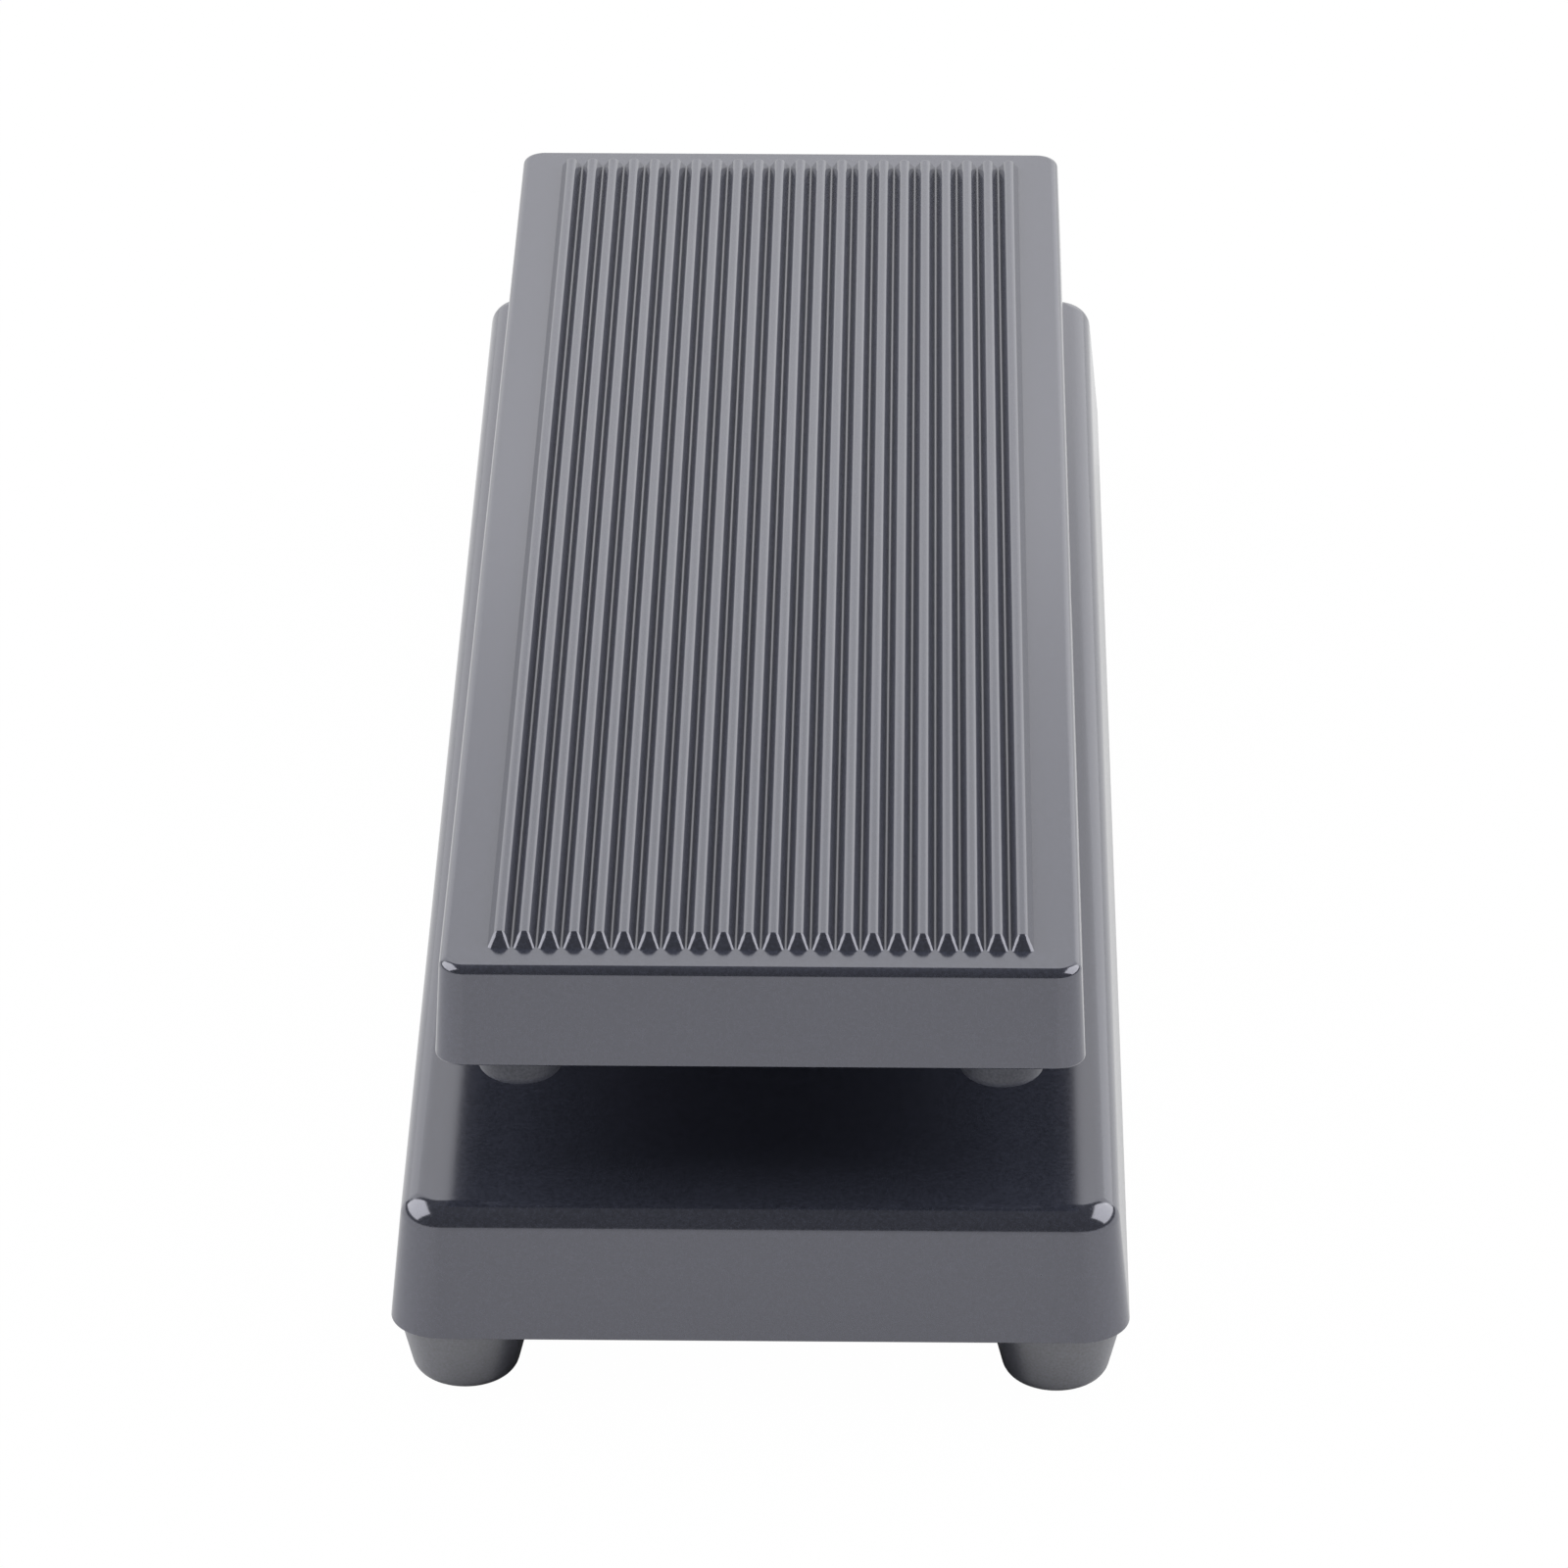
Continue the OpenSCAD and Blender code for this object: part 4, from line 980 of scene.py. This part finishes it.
@dataclass
class PhotoCamera:
    """Camera at the photograph's place: it looks along the pedal from above its heel end."""

    place_mm: tuple[float, float, float] = (16.33, -1049.40, 541.54)
    pitch: float = 26.706
    yaw: float = -0.844
    roll: float = -0.019
    focal_px: float = 9750.0
    image_px: float = 1600.0
    sensor_mm: float = 36.0
    clip_m: tuple[float, float] = (0.05, 50.0)

    def build(self) -> bpy.types.Object:
        """Makes the camera and sets it as the scene's.

        Returns:
            The camera.
        """
        pitch, yaw, roll = (math.radians(a) for a in (self.pitch, self.yaw, self.roll))
        ahead = Vector((math.sin(yaw) * math.cos(pitch),
                        math.cos(yaw) * math.cos(pitch),
                        -math.sin(pitch)))
        level = Vector((math.cos(yaw), -math.sin(yaw), 0.0))
        up = level.cross(ahead)
        right = math.cos(roll) * level + math.sin(roll) * up
        above = -math.sin(roll) * level + math.cos(roll) * up
        data = bpy.data.cameras.new("photo_camera")
        data.sensor_width = self.sensor_mm
        data.lens = self.focal_px / self.image_px * self.sensor_mm
        data.clip_start, data.clip_end = self.clip_m
        camera = bpy.data.objects.new("photo_camera", data)
        turn = Matrix((right, above, -ahead)).transposed().to_4x4()
        camera.matrix_world = Matrix.Translation(Vector(self.place_mm) * MM) @ turn
        bpy.context.scene.collection.objects.link(camera)
        bpy.context.scene.camera = camera
        return camera


@dataclass(frozen=True)
class Lamp:
    """One soft box: an area lamp at a place, facing the middle of the pedal.

    Its glow is the brightness of its face, where 1 is white, so its power is glow x pi x area.
    """

    name: str
    place: tuple[float, float, float]
    size: tuple[float, float]
    glow: float
    aim: tuple[float, float, float] = (0.0, 0.0, 0.03)

    def build(self) -> None:
        """Makes the lamp."""
        data = bpy.data.lights.new(self.name, "AREA")
        data.shape = "RECTANGLE"
        data.size, data.size_y = self.size
        data.energy = self.glow * math.pi * self.size[0] * self.size[1]
        lamp = bpy.data.objects.new(self.name, data)
        aim = Vector(self.aim) - Vector(self.place)
        turn = aim.to_track_quat("-Z", "Y").to_matrix().to_4x4()
        lamp.matrix_world = Matrix.Translation(self.place) @ turn
        bpy.context.scene.collection.objects.link(lamp)


@dataclass
class Studio:
    """Pale floor, plain world and soft boxes."""

    floor_half: float = 3.0
    floor_grey: float = 0.86
    floor_roughness: float = 0.2
    floor_white: float = 0.992
    # In reflections the floor glows white: less in line with the pedal, more beside it as painted light
    # from the side boxes, and none over the shade box as a painted shadow of the pedal.
    floor_mirrored: float = 0.54
    side_painted_light: float = 1.0
    side_fade_mm: float = 30.0
    shade_half_mm: tuple[float, float] = (38.0, 124.0)
    shade_fade_mm: float = 6.0
    world_grey: float = 0.12
    lamps: tuple[Lamp, ...] = (
        Lamp("side_box_left", (-1.02, 0.1, 0.82), (1.7, 1.3), 2.85),
        Lamp("side_box_right", (1.02, 0.2, 0.82), (1.7, 1.3), 2.85),
        Lamp("back_box_low", (0.0, 1.62, 0.36), (3.0, 0.68), 1.08),
        Lamp("back_box_right", (0.8, 1.62, 0.36), (1.4, 0.68), 0.2),
        Lamp("back_box_high", (0.0, 1.6, 1.02), (3.0, 0.62), 0.9),
    )

    def build(self) -> None:
        """Makes the floor, the world and the lamps."""
        self._floor()
        self._world()
        for lamp in self.lamps:
            lamp.build()
        bpy.context.scene.view_settings.view_transform = "Standard"

    def _floor(self) -> None:
        """Pale floor that is nearly white to the camera and keeps a faint shadow; in reflections it glows
        white, with a painted shadow under the pedal and painted light beside it.
        """
        half = self.floor_half / MM
        made = Draft()
        corners = np.array([[-1.0, -1.0, 0.0], [1.0, -1.0, 0.0], [1.0, 1.0, 0.0], [-1.0, 1.0, 0.0]])
        made.polygon(half * corners)
        floor = made.to_object("studio_floor")
        material = bpy.data.materials.new("studio_floor")
        material.use_nodes = True
        graph = Graph(material.node_tree)
        grey = (self.floor_grey, self.floor_grey, self.floor_grey, 1.0)
        paper = graph.node("ShaderNodeBsdfPrincipled", None, {
            "Base Color": grey, "Roughness": self.floor_roughness})
        white = graph.node("ShaderNodeEmission", None, {"Color": WHITE, "Strength": 1.0})
        path = graph.node("ShaderNodeLightPath")
        seen = Value(graph, path.outputs["Is Camera Ray"]) * self.floor_white
        # Glossy rays see the floor glow white, with a painted shadow under the pedal and painted light
        # beside it.
        mirrored = Value(graph, path.outputs["Is Glossy Ray"]) * self._mirrored(graph)
        mixed = graph.node("ShaderNodeMixShader", None, {
            0: seen + mirrored, 1: paper.outputs[0], 2: white.outputs[0]})
        graph.node("ShaderNodeOutputMaterial", None, {"Surface": mixed.outputs[0]})
        floor.data.materials.append(material)

    def _mirrored(self, graph: Graph) -> Value:
        """How white the floor is in reflections: none under the pedal, as a painted shadow, and most
        beside it, as painted light from the side boxes.

        The larger of the distances outside the pedal's sides and ends brings the white in over
        the shade's fade, so a painted shadow lies under the pedal. In line with the pedal it stays
        greyer;
        beside the pedal it rises to the sides' own value over the sides' fade, as painted light from the
        side boxes.

        Args:
            graph: the floor's node tree.

        Returns:
            The share of white.
        """
        point = graph.node("ShaderNodeSeparateXYZ", None, {0: graph.object_point()})
        across, along = (Value(graph, point.outputs[axis]).size() - half * MM
                         for axis, half in zip(("X", "Y"), self.shade_half_mm))
        clear = graph.value("ShaderNodeMapRange", None, {
            "Value": across.at_least(along), "From Min": 0.0, "From Max": self.shade_fade_mm * MM})
        beside = graph.value("ShaderNodeMapRange", None, {
            "Value": across, "From Min": 0.0, "From Max": self.side_fade_mm * MM})
        return clear * (self.floor_mirrored + beside * (self.side_painted_light - self.floor_mirrored))

    def _world(self) -> None:
        """Plain grey world that is white to the camera."""
        world = bpy.data.worlds.new("studio_world")
        world.use_nodes = True
        bpy.context.scene.world = world
        graph = Graph(world.node_tree)
        camera = graph.value("ShaderNodeLightPath", None, None, "Is Camera Ray")
        strength = self.world_grey + camera * (1.0 - self.world_grey)
        sky = graph.node("ShaderNodeBackground", None, {"Color": WHITE, "Strength": strength})
        graph.node("ShaderNodeOutputWorld", None, {"Surface": sky.outputs[0]})


def main() -> None:
    """Builds the pedal's pieces in order and dresses them."""
    logging.basicConfig(level=logging.INFO, format="%(message)s")
    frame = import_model()
    PhotoCamera().build()
    Studio().build()
    treadle = Treadle()
    place(BaseCasing().build(), Body.BASE, GRAPHITE, "base_casing")
    place(treadle.build(), Body.TREADLE, GRAPHITE, "treadle")
    foot = RubberButton(top_r=7.7, low_r=5.6, height=8.2, round_r=2.2, bore_r=2.9, bore_l=4.1, hole_r=1.5)
    bumper = RubberButton(top_r=5.2, low_r=4.6, height=6.0, round_r=1.4, stem_r=2.0, stem_l=5.0)
    RubberFeet(foot).build()
    RubberBumpers(bumper, treadle).build()
    CarriedNodes().dress(frame["nodes"])


if __name__ == "__main__":
    main()
